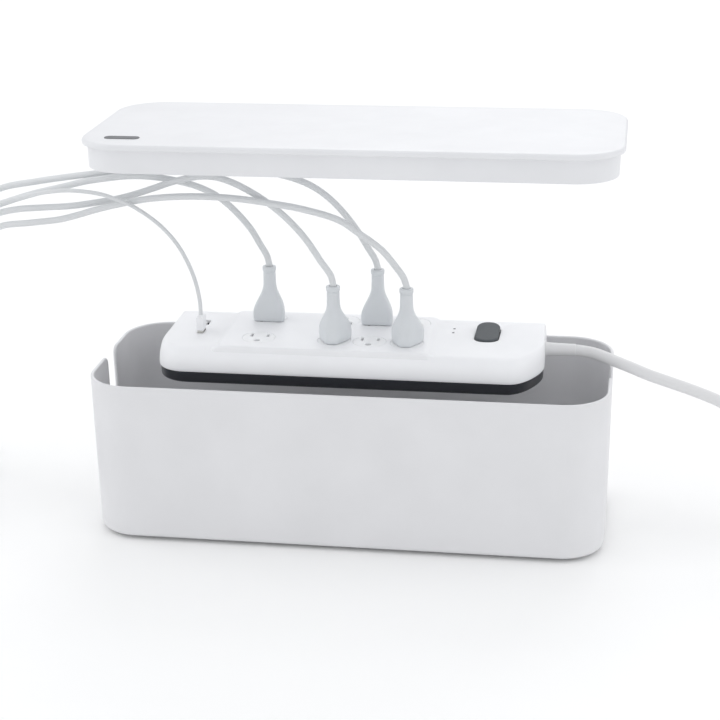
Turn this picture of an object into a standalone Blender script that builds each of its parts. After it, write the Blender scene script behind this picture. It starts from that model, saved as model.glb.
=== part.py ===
"""Lidded cable box with a power strip, its plugged-in leads and a USB cord, opened up for use.

The tub stands on four rubber feet. The lid hovers above it and nests its skirt inside the rim when it comes
down. The power strip hovers in the tub's mouth and sinks to the tub's floor together with the lid.
Every lead ends in a neat coil on the floor. Units are metres, +Z is up, +X runs along the box.
"""

import math

import bmesh
import bpy
from mathutils import Vector

# Driving dimensions.
GAP = 0.0003
BOX_LENGTH = 0.406
BOX_DEPTH = 0.160
CORNER_RADIUS = 0.036
FOOT_HEIGHT = 0.0025
FOOT_RADIUS = 0.009
TUB_TOP = 0.1304
TUB_WALL = 0.0028
TUB_FLOOR = 0.003
TUB_TAPER = 0.0015
TUB_EDGE_RADIUS = 0.004
SLOT_HALF_WIDTH = 0.0105
SLOT_BOTTOM = 0.022
SLOT_LIP_RADIUS = 0.007

LID_PLATE = 0.0045
LID_TOP = 0.3185
LID_SHIFT_X = 0.0045
LID_SHIFT_Y = 0.0050
LID_EDGE_RADIUS = 0.002
SKIRT_HEIGHT = 0.018
SKIRT_INSET = 0.0036
SKIRT_WALL = 0.0022

STRIP_HALF_LENGTH = 0.151
STRIP_FRONT = -0.049
STRIP_BACK = 0.051
STRIP_BOTTOM = 0.1237
STRIP_SPLIT = 0.1330
DECK_TOP = 0.1505
PANEL_TOP = 0.1535
STRIP_WALL = 0.002
FRONT_BULGE = 0.0065
OUTLET_COLUMNS = (-0.0735, -0.0133, 0.0146, 0.0440)
FRONT_ROW = -0.0185
BACK_ROW = 0.0290
OUTLET_RADIUS = 0.0131
OUTLET_BOTTOM = 0.1365
ROCKER_CENTRE = (0.1038, 0.0172, 0.1478)
ROCKER_SIZE = (0.0185, 0.0350)
ROCKER_TILT = math.radians(6)
USB_PORTS = ((-0.1245, 0.0003), (-0.1252, 0.0215))
LAMP_PLACES = ((0.0763, 0.0281), (0.0763, 0.0184))
USB_PORT_SIZE = (0.0050, 0.0130)
LEAD_EXIT = (0.1510, 0.0125, 0.1418)
RELIEF_END = 0.1735

PLUG_HEIGHT = 0.0442
PIN_BOTTOM = 0.1378
DEVICE_CORD = 0.0052
USB_CORD = 0.0032
LEAD_CORD = 0.0090

# Middle radii and places of the coils on the floor.
DEVICE_COIL_RADIUS = 0.026
USB_COIL_RADIUS = 0.016
LEAD_COIL_RADIUS = 0.045
LEAD_COIL_CENTRE = (0.434, 0.030)
USB_COIL_CENTRE = (-0.372, 0.0702)
CONNECTOR_LENGTH = 0.028

# Each device lead: the outlet it is plugged into, its coil's centre, and the side on which it comes in.
DEVICES = (
    {"outlet": (0, BACK_ROW), "coil": (-0.372, 0.013), "side": 1, "end": 1,
     "route": ((-0.0735, 0.0290, 0.1996), (-0.0748, 0.0287, 0.2060), (-0.0800, 0.0272, 0.2165),
               (-0.0866, 0.0258, 0.2290), (-0.0996, 0.0229, 0.2457), (-0.1129, 0.0199, 0.2578),
               (-0.1262, 0.0168, 0.2650), (-0.1400, 0.0137, 0.2697), (-0.1580, 0.0095, 0.2738),
               (-0.1780, 0.0040, 0.2756), (-0.1960, 0.0010, 0.2741), (-0.2130, 0.0010, 0.2712),
               (-0.2292, 0.0012, 0.2670), (-0.2580, 0.0025, 0.2595), (-0.2860, 0.0050, 0.2500),
               (-0.3080, 0.0095, 0.2410), (-0.3260, 0.0130, 0.2180), (-0.3335, 0.0170, 0.1800),
               (-0.3335, 0.0215, 0.1300), (-0.3315, 0.0270, 0.0850), (-0.3295, 0.0325, 0.0500),
               (-0.3310, 0.0360, 0.0250), (-0.3380, 0.0383, 0.0085), (-0.3508, 0.0390, 0.0030))},
    {"outlet": (1, FRONT_ROW), "coil": (-0.438, -0.053), "side": -1, "end": -1,
     "route": ((-0.0133, -0.0185, 0.1996), (-0.0148, -0.0184, 0.2060), (-0.0225, -0.0175, 0.2170),
               (-0.0349, -0.0160, 0.2349), (-0.0489, -0.0142, 0.2495), (-0.0631, -0.0124, 0.2605),
               (-0.0774, -0.0106, 0.2690), (-0.0911, -0.0088, 0.2752), (-0.1060, -0.0060, 0.2788),
               (-0.1200, -0.0040, 0.2785), (-0.1401, -0.0010, 0.2735), (-0.1580, 0.0020, 0.2668),
               (-0.1754, 0.0040, 0.2606), (-0.1900, 0.0050, 0.2565), (-0.2039, 0.0055, 0.2536),
               (-0.2276, 0.0052, 0.2498), (-0.2521, 0.0045, 0.2480), (-0.2728, 0.0020, 0.2465),
               (-0.2900, -0.0010, 0.2425), (-0.3090, -0.0070, 0.2320), (-0.3250, -0.0165, 0.2110),
               (-0.3350, -0.0290, 0.1780), (-0.3395, -0.0430, 0.1350), (-0.3420, -0.0580, 0.0880),
               (-0.3450, -0.0720, 0.0470), (-0.3520, -0.0830, 0.0170), (-0.3640, -0.0875, 0.0050),
               (-0.3800, -0.0880, 0.0030), (-0.3960, -0.0850, 0.0030), (-0.4070, -0.0805, 0.0030),
               (-0.4168, -0.0790, 0.0030))},
    {"outlet": (2, BACK_ROW), "coil": (-0.438, 0.013), "side": 1, "end": -1,
     "route": ((0.0146, 0.0290, 0.1996), (0.0128, 0.0288, 0.2060), (0.0068, 0.0280, 0.2165),
               (0.0000, 0.0272, 0.2284), (-0.0113, 0.0260, 0.2442), (-0.0236, 0.0247, 0.2572),
               (-0.0359, 0.0234, 0.2661), (-0.0498, 0.0219, 0.2722), (-0.0700, 0.0198, 0.2775),
               (-0.0950, 0.0172, 0.2815), (-0.1250, 0.0140, 0.2832), (-0.1550, 0.0108, 0.2824),
               (-0.1800, 0.0084, 0.2796), (-0.2040, 0.0070, 0.2765), (-0.2300, 0.0082, 0.2726),
               (-0.2580, 0.0105, 0.2675), (-0.2860, 0.0140, 0.2612), (-0.3130, 0.0190, 0.2480),
               (-0.3310, 0.0250, 0.2200), (-0.3390, 0.0310, 0.1800), (-0.3415, 0.0370, 0.1300),
               (-0.3415, 0.0420, 0.0850), (-0.3425, 0.0455, 0.0450), (-0.3480, 0.0472, 0.0170),
               (-0.3590, 0.0476, 0.0050), (-0.3720, 0.0476, 0.0030), (-0.3860, 0.0470, 0.0030),
               (-0.4000, 0.0430, 0.0030), (-0.4080, 0.0402, 0.0030), (-0.4168, 0.0390, 0.0030))},
    {"outlet": (3, FRONT_ROW), "coil": (-0.372, -0.053), "side": -1, "end": 1,
     "route": ((0.0440, -0.0185, 0.1996), (0.0420, -0.0184, 0.2060), (0.0344, -0.0178, 0.2165),
               (0.0249, -0.0195, 0.2285), (0.0070, -0.0208, 0.2420), (-0.0069, -0.0212, 0.2512),
               (-0.0349, -0.0208, 0.2590), (-0.0635, -0.0192, 0.2630), (-0.0850, -0.0170, 0.2649),
               (-0.1062, -0.0145, 0.2653), (-0.1332, -0.0110, 0.2640), (-0.1607, -0.0075, 0.2605),
               (-0.1884, -0.0042, 0.2540), (-0.2060, -0.0026, 0.2490), (-0.2231, -0.0014, 0.2435),
               (-0.2371, -0.0014, 0.2400), (-0.2600, -0.0020, 0.2370), (-0.2854, -0.0040, 0.2335),
               (-0.3020, -0.0080, 0.2225), (-0.3130, -0.0150, 0.2010), (-0.3200, -0.0270, 0.1650),
               (-0.3235, -0.0410, 0.1200), (-0.3260, -0.0555, 0.0780), (-0.3272, -0.0680, 0.0450),
               (-0.3300, -0.0750, 0.0220), (-0.3380, -0.0783, 0.0080), (-0.3508, -0.0790, 0.0030))},
)
USB_ROUTE = (
    (-0.1245, 0.0003, 0.1679), (-0.1247, 0.0002, 0.1750), (-0.1268, -0.0004, 0.1895),
    (-0.1310, -0.0017, 0.2043), (-0.1392, -0.0033, 0.2220), (-0.1487, -0.0060, 0.2355),
    (-0.1570, -0.0085, 0.2442), (-0.1675, -0.0108, 0.2525), (-0.1760, -0.0118, 0.2575),
    (-0.1869, -0.0110, 0.2612), (-0.2000, -0.0085, 0.2640), (-0.2239, -0.0066, 0.2655),
    (-0.2400, -0.0062, 0.2640), (-0.2610, -0.0062, 0.2600), (-0.2822, -0.0055, 0.2540),
    (-0.2990, -0.0020, 0.2465), (-0.3100, 0.0050, 0.2300), (-0.3150, 0.0145, 0.1980),
    (-0.3180, 0.0270, 0.1600), (-0.3210, 0.0410, 0.1220), (-0.3250, 0.0550, 0.0850),
    (-0.3310, 0.0680, 0.0500), (-0.3385, 0.0780, 0.0220), (-0.3455, 0.0835, 0.0070),
    (-0.3515, 0.0856, 0.0026), (-0.3587, 0.0862, 0.0020),
)
LEAD_ROUTE = (
    (0.1760, 0.0125, 0.1418), (0.1850, 0.0117, 0.1420), (0.1945, 0.0088, 0.1412),
    (0.2050, 0.0048, 0.1388), (0.2168, 0.0012, 0.1350), (0.2316, -0.0020, 0.1293),
    (0.2471, -0.0027, 0.1236), (0.2688, -0.0036, 0.1166), (0.2870, -0.0046, 0.1095),
    (0.3050, -0.0062, 0.0985), (0.3220, -0.0085, 0.0815), (0.3370, -0.0110, 0.0590),
    (0.3500, -0.0132, 0.0365), (0.3635, -0.0145, 0.0190), (0.3795, -0.0150, 0.0085),
    (0.3975, -0.0150, 0.0048),
)

for leftover in list(bpy.data.objects):
    bpy.data.objects.remove(leftover)


def new_collection(name):
    collection = bpy.data.collections.new(name)
    bpy.context.scene.collection.children.link(collection)
    return collection


PARTS = new_collection("cable_box")
CUTTERS = new_collection("cutters")


def material(name, colour, roughness, metallic=0.0):
    made = bpy.data.materials.new(name)
    made.use_nodes = True
    shader = made.node_tree.nodes["Principled BSDF"]
    shader.inputs["Base Color"].default_value = (*colour, 1.0)
    shader.inputs["Roughness"].default_value = roughness
    shader.inputs["Metallic"].default_value = metallic
    made.diffuse_color = (*colour, 1.0)
    return made


WHITE_PLASTIC = material("white_plastic", (0.83, 0.83, 0.84), 0.38)
LID_PLASTIC = material("lid_plastic", (0.86, 0.86, 0.87), 0.34)
GREY_BADGE = material("grey_badge", (0.16, 0.17, 0.18), 0.5)
RUBBER = material("grey_rubber", (0.30, 0.31, 0.32), 0.8)
STRIP_WHITE = material("strip_white", (0.85, 0.86, 0.87), 0.3)
STRIP_DARK = material("strip_dark", (0.028, 0.030, 0.036), 0.45)
OUTLET_WHITE = material("outlet_white", (0.82, 0.83, 0.83), 0.35)
USB_BLACK = material("usb_black", (0.03, 0.03, 0.035), 0.5)
SWITCH_GREY = material("switch_grey", (0.14, 0.15, 0.16), 0.4)
LAMP_CLEAR = material("lamp_clear", (0.55, 0.62, 0.60), 0.2)
COPPER = material("copper", (0.72, 0.42, 0.25), 0.35, 1.0)
BOARD_GREEN = material("board_green", (0.05, 0.22, 0.10), 0.5)
STEEL = material("steel", (0.6, 0.6, 0.62), 0.35, 1.0)
CORD_GREY = material("cord_grey", (0.62, 0.66, 0.68), 0.5)
LEAD_WHITE = material("lead_white", (0.78, 0.79, 0.80), 0.5)


def node(name, mesh_or_curve, surface, collection=PARTS):
    """Links a new object with its material; a cutter has no material."""
    made = bpy.data.objects.new(name, mesh_or_curve)
    collection.objects.link(made)
    if surface:
        made.data.materials.append(surface)
    else:
        made.hide_render = True
        made.display_type = "WIRE"
    return made


def arc(steps, start, end):
    """Angles from start to end in degrees, given in radians."""
    return [math.radians(start + (end - start) * i / steps) for i in range(steps + 1)]


def outline(x_low, x_high, y_front, y_back, r_front=0.0, r_back=0.0, steps=0):
    """Counter-clockwise plan of a rectangle, with rounded corners where steps are given."""
    corners = ((x_high, y_back, r_back, -1, -1), (x_low, y_back, r_back, 1, -1),
               (x_low, y_front, r_front, 1, 1), (x_high, y_front, r_front, -1, 1))
    points = []
    if not steps:
        return [(x, y) for x, y, *_ in corners]
    for quarter, (x, y, r, toward_x, toward_y) in enumerate(corners):
        for a in arc(steps, 90 * quarter, 90 * quarter + 90):
            points.append((x + toward_x * r + r * math.cos(a), y + toward_y * r + r * math.sin(a)))
    return points


def circle(x, y, radius, steps):
    return [(x + radius * math.cos(2 * math.pi * i / steps), y + radius * math.sin(2 * math.pi * i / steps))
            for i in range(steps)]


def level(points, z):
    return [(x, y, z) for x, y in points]


def add_loft(bm, rings):
    """Adds a closed body through rings of equal length, capped at its two ends."""
    rows = [[bm.verts.new(p) for p in ring] for ring in rings]
    count = len(rows[0])
    for low, high in zip(rows, rows[1:]):
        for i in range(count):
            bm.faces.new((low[i], low[(i + 1) % count], high[(i + 1) % count], high[i]))
    bm.faces.new(list(reversed(rows[0])))
    bm.faces.new(rows[-1])


def solid(name, bodies, surface, smooth=False):
    """One object from lofted bodies, each a list of rings."""
    bm = bmesh.new()
    for rings in bodies:
        add_loft(bm, rings)
    bmesh.ops.recalc_face_normals(bm, faces=bm.faces)
    mesh = bpy.data.meshes.new(name)
    bm.to_mesh(mesh)
    bm.free()
    if smooth:
        mesh.shade_smooth()
        mesh.set_sharp_from_angle(angle=math.radians(35))
    return node(name, mesh, surface, PARTS if surface else CUTTERS)


def prism(points, low, high, axis="Z"):
    """Rings of a straight prism; the outline lies in the plane across the axis."""
    place = {"X": lambda u, v, w: (w, u, v), "Y": lambda u, v, w: (u, w, v), "Z": lambda u, v, w: (u, v, w)}[axis]
    return [[place(u, v, w) for u, v in points] for w in (low, high)]


def boolean(target, tool, operation):
    step = target.modifiers.new(tool.name, "BOOLEAN")
    step.operation = operation
    step.object = tool
    step.solver = "EXACT"


def smooth_route(points, spacing):
    """Points every spacing along a centripetal Catmull-Rom curve through the route."""
    route = [Vector(p) for p in points]
    route = [2 * route[0] - route[1], *route, 2 * route[-1] - route[-2]]
    dense = []
    for a, b, c, d in zip(route, route[1:], route[2:], route[3:]):
        ta = 0.0
        tb = ta + math.sqrt((b - a).length)
        tc = tb + math.sqrt((c - b).length)
        td = tc + math.sqrt((d - c).length)
        for i in range(12):
            t = tb + (tc - tb) * i / 12
            ab = (tb - t) / (tb - ta) * a + (t - ta) / (tb - ta) * b
            bc = (tc - t) / (tc - tb) * b + (t - tb) / (tc - tb) * c
            cd = (td - t) / (td - tc) * c + (t - tc) / (td - tc) * d
            abc = (tc - t) / (tc - ta) * ab + (t - ta) / (tc - ta) * bc
            bcd = (td - t) / (td - tb) * bc + (t - tb) / (td - tb) * cd
            dense.append((tc - t) / (tc - tb) * abc + (t - tb) / (tc - tb) * bcd)
    dense.append(route[-2])
    lengths = [0.0]
    for a, b in zip(dense, dense[1:]):
        lengths.append(lengths[-1] + (b - a).length)
    count = max(2, round(lengths[-1] / spacing))
    even, i = [], 0
    for k in range(count + 1):
        want = lengths[-1] * k / count
        while i < len(dense) - 2 and lengths[i + 1] < want:
            i += 1
        share = (want - lengths[i]) / max(lengths[i + 1] - lengths[i], 1e-9)
        even.append(dense[i].lerp(dense[i + 1], min(1.0, share)))
    return even


def tube(name, route, diameter, surface):
    """The stretch of a cord that isn't coiled, as a bevelled curve."""
    points = smooth_route(route, 3.0 * diameter)
    curve = bpy.data.curves.new(name, "CURVE")
    curve.dimensions = "3D"
    curve.bevel_depth = diameter / 2
    curve.bevel_resolution = 2
    curve.use_fill_caps = True
    spline = curve.splines.new("POLY")
    spline.points.add(len(points) - 1)
    for place, p in zip(spline.points, points):
        place.co = (*p, 1.0)
    return node(name, curve, surface)


def coil(name, centre, radius, diameter, across, high, surface):
    """The outer shape of a wound coil: a turned ring with softened edges."""
    half, top, edge = across * diameter / 2, high * diameter, 0.3 * diameter
    profile = ((radius + half, top - edge), (radius + half, GAP), (radius - half, GAP),
               (radius - half, top - edge), (radius - half + edge, top), (radius + half - edge, top))
    bm = bmesh.new()
    ring = [bm.verts.new((r, 0.0, z)) for r, z in profile]
    edges = [bm.edges.new((a, b)) for a, b in zip(ring, ring[1:] + ring[:1])]
    bmesh.ops.spin(bm, geom=edges, cent=(0, 0, 0), axis=(0, 0, 1), angle=2 * math.pi, steps=20,
                   use_merge=False)
    bmesh.ops.remove_doubles(bm, verts=bm.verts, dist=1e-6)
    bmesh.ops.recalc_face_normals(bm, faces=bm.faces)
    mesh = bpy.data.meshes.new(name)
    bm.to_mesh(mesh)
    bm.free()
    made = node(name, mesh, surface)
    made.location = (*centre, 0.0)
    return made


def reach(radius, across, diameter):
    """How far along its tangent a straight cord end stays outside the ring of a coil."""
    outer, inner = radius + across * diameter / 2, radius - diameter / 2
    return math.sqrt(outer ** 2 - inner ** 2) + GAP


# --- The box ---------------------------------------------------------------------------------------------

def box_outline(inset, steps=6):
    half_x, half_y = BOX_LENGTH / 2 - inset, BOX_DEPTH / 2 - inset
    r = CORNER_RADIUS - inset
    return outline(-half_x, half_x, -half_y, half_y, r, r, steps)


def slot_outline():
    """The end slot, as (y, z): a round bottom, straight sides, and lips that curve away at the rim."""
    w, r = SLOT_HALF_WIDTH, SLOT_LIP_RADIUS
    points = [(w * math.cos(a), SLOT_BOTTOM + w + w * math.sin(a)) for a in arc(10, 180, 360)]
    points += [(w + r - r * math.cos(a), TUB_TOP - r + r * math.sin(a)) for a in arc(5, 0, 90)]
    points += [(w + r, TUB_TOP + 0.01), (-w - r, TUB_TOP + 0.01)]
    points += [(-w - r + r * math.cos(a), TUB_TOP - r + r * math.sin(a)) for a in arc(5, 90, 0)]
    return points


def build_tub():
    base = FOOT_HEIGHT + GAP
    edge, wall = TUB_EDGE_RADIUS, TUB_WALL

    def inset(z):
        return TUB_TAPER * (TUB_TOP - z) / (TUB_TOP - base)

    rings = [level(box_outline(inset(base) + edge * (1 - math.sin(a))), base + edge * (1 - math.cos(a)))
             for a in arc(3, 0, 90)]
    rings += [level(box_outline(wall / 2 * (1 - math.cos(a))), TUB_TOP - wall / 2 + wall / 2 * math.sin(a))
              for a in arc(3, 0, 180)]
    floor = base + TUB_FLOOR
    rings += [level(box_outline(inset(floor) + wall + edge * (1 - math.cos(a))),
                    floor + edge * (1 - math.sin(a))) for a in arc(3, 0, 90)]
    tub = solid("tub", [rings], WHITE_PLASTIC, smooth=True)
    slots = solid("slot_cutter", [prism(slot_outline(), -0.22, -0.18, "X"),
                                  prism(slot_outline(), 0.18, 0.22, "X")], None)
    boolean(tub, slots, "DIFFERENCE")
    return floor


def build_feet():
    for i, (x, y) in enumerate(((-0.165, -0.050), (0.165, -0.050), (0.165, 0.050), (-0.165, 0.050))):
        rings = [level(circle(x, y, FOOT_RADIUS - 0.0006, 16), 0.0), level(circle(x, y, FOOT_RADIUS, 16), 0.0006),
                 level(circle(x, y, FOOT_RADIUS, 16), FOOT_HEIGHT)]
        solid(f"foot_{i + 1}", [rings], RUBBER, smooth=True)


def build_lid():
    edge, plate_low = LID_EDGE_RADIUS, LID_TOP - LID_PLATE
    skirt_low = plate_low - SKIRT_HEIGHT
    inner = SKIRT_INSET + SKIRT_WALL
    steps = [(inner, plate_low), (inner + 0.0006, skirt_low + 0.001), (inner - 0.0004, skirt_low),
             (SKIRT_INSET + 0.0010, skirt_low), (SKIRT_INSET + 0.0006, skirt_low + 0.0008),
             (SKIRT_INSET, plate_low), (0.0006, plate_low), (0.0, plate_low + 0.0006),
             (0.0, LID_TOP - edge)]
    steps += [(edge * (1 - math.cos(a)), LID_TOP - edge * (1 - math.sin(a))) for a in arc(4, 0, 90)][1:]
    rings = [[(x + LID_SHIFT_X, y + LID_SHIFT_Y, z) for x, y in box_outline(inset)] for inset, z in steps]
    solid("lid", [rings], LID_PLASTIC, smooth=True)
    badge = outline(-0.0135, 0.0135, -0.0045, 0.0045, 0.0042, 0.0042, 3)
    badge = [(x - 0.1655, y - 0.0500) for x, y in badge]
    solid("lid_badge", [prism(badge, LID_TOP + 0.0001, LID_TOP + 0.0005)], GREY_BADGE)


# --- The power strip -------------------------------------------------------------------------------------

def strip_outline(bulge, side, back):
    """Plan of the strip: square back corners and large round front corners."""
    half = STRIP_HALF_LENGTH - side
    return outline(-half, half, STRIP_FRONT + bulge, STRIP_BACK - back, 0.024, 0.003, 5)


def slots_at(x, y, face):
    """Outlines of an outlet's two blade slots and its earth hole; face is 1 where the earth hole is in front."""
    blades = [outline(x + s * 0.00635 - w, x + s * 0.00635 + w, y + face * 0.0055 - 0.0037,
                      y + face * 0.0055 + 0.0037) for s, w in ((-1, 0.0012), (1, 0.0012))]
    return [*blades, circle(x, y - face * 0.0064, 0.0027, 10)]


OUTLETS = [(x, y, 1 if y == FRONT_ROW else -1) for y in (FRONT_ROW, BACK_ROW) for x in OUTLET_COLUMNS]


def build_strip_shell():
    split = STRIP_SPLIT + GAP
    rings = [level(strip_outline(FRONT_BULGE * (1 - math.cos(a)), 0.001 * (1 - math.cos(a)),
                                 0.001 * (1 - math.cos(a))), split + (DECK_TOP - split) * math.sin(a))
             for a in arc(5, 0, 90)]
    shell = solid("strip_top_shell", [rings], STRIP_WHITE, smooth=True)
    slope, sunk = 0.005 / (PANEL_TOP - DECK_TOP), 0.001
    foot = outline(-0.107 - slope * sunk, 0.0655 + slope * sunk, -0.0412, 0.0473, 0.004, 0.004, 3)
    lip = outline(-0.1028, 0.0613, -0.0411, 0.0472, 0.004, 0.004, 3)
    top = outline(-0.1020, 0.0605, -0.0407, 0.0468, 0.004, 0.004, 3)
    panel = solid("panel_form", [[level(foot, DECK_TOP - sunk), level(lip, PANEL_TOP - 0.0005),
                                  level(top, PANEL_TOP)]], None)
    boolean(shell, panel, "UNION")
    wall = STRIP_WALL
    half = STRIP_HALF_LENGTH - wall
    low = outline(-half, half, STRIP_FRONT + wall, STRIP_BACK - wall, 0.022, 0.002, 6)
    high = outline(-half + 0.001, half - 0.001, STRIP_FRONT + wall + 0.005, STRIP_BACK - wall - 0.001, 0.022,
                   0.002, 6)
    cavity = solid("shell_cavity", [[level(low, split - 0.01), level(low, split + 0.006),
                                     level(high, DECK_TOP - wall)]], None)
    boolean(shell, cavity, "DIFFERENCE")
    holes = [prism(circle(x, y, OUTLET_RADIUS + GAP, 20), 0.14, 0.17) for x, y, _ in OUTLETS]
    x, y, _ = ROCKER_CENTRE
    w, d = ROCKER_SIZE[0] / 2 + 0.0006, ROCKER_SIZE[1] / 2 + 0.0012
    holes.append(prism(outline(x - w, x + w, y - d, y + d, 0.0045, 0.0045, 4), 0.14, 0.17))
    for x, y in USB_PORTS:
        w, d = USB_PORT_SIZE[0] / 2, USB_PORT_SIZE[1] / 2
        holes.append(prism(outline(x - w, x + w, y - d, y + d), 0.14, 0.17))
    holes += [prism(circle(x, y, 0.0013, 10), 0.14, 0.17) for x, y in LAMP_PLACES]
    _, y, z = LEAD_EXIT
    holes.append(prism(circle(y, z, 0.0060, 20), 0.14, 0.17, "X"))
    boolean(shell, solid("shell_holes", holes, None), "DIFFERENCE")


def build_strip_base():
    wall, low = STRIP_WALL, STRIP_BOTTOM
    rings = [level(strip_outline(0.0040, 0.0030, 0.0030), low),
             level(strip_outline(0.0024, 0.0014, 0.0014), low + 0.0008),
             level(strip_outline(0.0008, 0.0008, 0.0008), low + 0.005),
             level(strip_outline(0.0004, 0.0006, 0.0006), STRIP_SPLIT),
             level(strip_outline(wall + 0.0004, wall + 0.0006, wall + 0.0006), STRIP_SPLIT),
             level(strip_outline(wall + 0.0044, wall + 0.003, wall + 0.003), low + wall)]
    base = solid("strip_base", [rings], STRIP_DARK, smooth=True)
    holes = [prism(circle(x, y, 0.0022, 12), low - 0.001, low + 0.004) for x, y in SCREWS]
    boolean(base, solid("base_screw_holes", holes, None), "DIFFERENCE")


SCREWS = [(x, y) for x in (-0.135, 0.135) for y in (-0.028, 0.038)]


def build_screws():
    for i, (x, y) in enumerate(SCREWS):
        rings = [level(circle(x, y, 0.0019, 10), STRIP_BOTTOM + 0.0001),
                 level(circle(x, y, 0.0019, 10), STRIP_BOTTOM + 0.0024),
                 level(circle(x, y, 0.0012, 10), STRIP_BOTTOM + 0.0030),
                 level(circle(x, y, 0.0012, 10), STRIP_SPLIT + 0.006)]
        solid(f"strip_screw_{i + 1}", [rings], STEEL, smooth=True)


def build_outlets():
    for i, (x, y, face) in enumerate(OUTLETS):
        rings = [level(circle(x, y, OUTLET_RADIUS, 20), OUTLET_BOTTOM),
                 level(circle(x, y, OUTLET_RADIUS, 20), PANEL_TOP - 0.0006),
                 level(circle(x, y, OUTLET_RADIUS - 0.0005, 20), PANEL_TOP - 0.0001)]
        insert = solid(f"outlet_{i + 1}", [rings], OUTLET_WHITE, smooth=True)
        cuts = [prism(points, OUTLET_BOTTOM - 0.01, PANEL_TOP + 0.01) for points in slots_at(x, y, face)]
        boolean(insert, solid(f"outlet_slots_{i + 1}", cuts, None), "DIFFERENCE")


def build_usb_block():
    low = 0.1375
    block = solid("usb_socket_block", [prism(outline(-0.1315, -0.1178, -0.0090, 0.0300, 0.0, 0.0),
                                             low, DECK_TOP - STRIP_WALL - GAP)], USB_BLACK)
    cuts = []
    for x, y in USB_PORTS:
        w, d = USB_PORT_SIZE[0] / 2, USB_PORT_SIZE[1] / 2
        cuts.append(prism(outline(x - w, x + w, y - d, y + d), low + 0.0010, 0.16))
    boolean(block, solid("usb_port_cutter", cuts, None), "DIFFERENCE")


def build_rocker():
    """The rocker turns about a shaft along X; it rests with its front end pressed down."""
    w, d = ROCKER_SIZE[0] / 2, ROCKER_SIZE[1] / 2
    rings = [level(outline(-w + 0.001, w - 0.001, -d + 0.002, d - 0.002, 0.003, 0.003, 3), -0.0035),
             level(outline(-w, w, -d + 0.0006, d - 0.0006, 0.004, 0.004, 3), 0.0010),
             level(outline(-w, w, -d, d, 0.0042, 0.0042, 3), 0.0050),
             level(outline(-w + 0.0004, w - 0.0004, -d + 0.0004, d - 0.0004, 0.0040, 0.0040, 3), 0.0056),
             level(outline(-w + 0.0012, w - 0.0012, -d + 0.0012, d - 0.0012, 0.0034, 0.0034, 3), 0.0059)]
    rocker = solid("rocker_switch", [rings], SWITCH_GREY, smooth=True)
    rocker.location = ROCKER_CENTRE
    rocker.rotation_euler = (ROCKER_TILT, 0.0, 0.0)


def build_strip_insides():
    for i, (x, y) in enumerate(LAMP_PLACES):
        solid(f"indicator_lamp_{i + 1}", [[level(circle(x, y, 0.0010, 10), DECK_TOP - 0.004),
                                           level(circle(x, y, 0.0010, 10), DECK_TOP + 0.0003)]],
              LAMP_CLEAR, smooth=True)
    for name, y in (("line", -0.0130), ("neutral", 0.0235), ("earth", 0.0050)):
        bar = outline(-0.092, 0.062, y - 0.0035, y + 0.0035)
        solid(f"bus_bar_{name}", [prism(bar, 0.1335, 0.1347)], COPPER)
    solid("surge_board", [prism(outline(0.078, 0.135, -0.025, 0.020, 0.0, 0.0), 0.1310, 0.1326)],
          BOARD_GREEN)
    solid("usb_power_board", [prism(outline(-0.132, -0.098, -0.020, 0.034, 0.0, 0.0), 0.1345, 0.1361)],
          BOARD_GREEN)


def build_strain_relief():
    x, y, z = LEAD_EXIT
    profile = ((x - 0.0050, 0.0063), (x - 0.0036, 0.0063), (x - 0.0036, 0.0056), (x + 0.0006, 0.0056),
               (x + 0.0006, 0.0078), (x + 0.0030, 0.0078), (x + 0.0050, 0.0066), (RELIEF_END, 0.0054))
    rings = [[(px, cy, cz) for cy, cz in circle(y, z, r, 18)] for px, r in profile]
    solid("strain_relief", [rings], LEAD_WHITE, smooth=True)


# --- Plugs, cords and coils ------------------------------------------------------------------------------

def plug_ring(half_x, half_y, front_flat, z, steps=14):
    """A plug's section: a rounded box whose earth side is pulled out to a soft ridge."""
    points = []
    for i in range(steps):
        a = 2 * math.pi * i / steps
        c, s = math.cos(a), math.sin(a)
        swell = (abs(c) ** 3 + abs(s) ** 3) ** (-1 / 3)
        narrow = 1 - front_flat * max(0.0, -s) ** 2
        points.append((half_x * swell * c * narrow, half_y * swell * s, z))
    return points


def build_plug(number, x, y, face):
    """A three-pin plug that stands in its outlet, with its earth pin on the outer side of the strip."""
    base = PANEL_TOP + GAP
    shape = ((0.0, 0.0124, 0.0122, 0.22), (0.0110, 0.0126, 0.0124, 0.22), (0.0170, 0.0114, 0.0112, 0.20),
             (0.0250, 0.0080, 0.0082, 0.10), (0.0320, 0.0055, 0.0055, 0.0), (0.0368, 0.0050, 0.0050, 0.0),
             (0.0378, 0.0056, 0.0056, 0.0), (0.0420, 0.0056, 0.0056, 0.0), (PLUG_HEIGHT, 0.0046, 0.0046, 0.0))
    rings = [[(x + px, y + face * py, base + z) for px, py, _ in plug_ring(hx, hy, flat, 0.0)]
             for z, hx, hy, flat in shape]
    plug = solid(f"plug_{number}", [rings], CORD_GREY, smooth=True)
    blade_y = y + face * 0.0055
    pins = [prism(outline(x + s * 0.00635 - 0.00075, x + s * 0.00635 + 0.00075, blade_y - 0.0032,
                          blade_y + 0.0032), PIN_BOTTOM, base + 0.003) for s in (-1, 1)]
    pins.append(prism(circle(x, y - face * 0.0064, 0.0022, 8), PIN_BOTTOM - 0.0008, base + 0.003))
    boolean(plug, solid(f"plug_pins_{number}", pins, None), "UNION")


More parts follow.
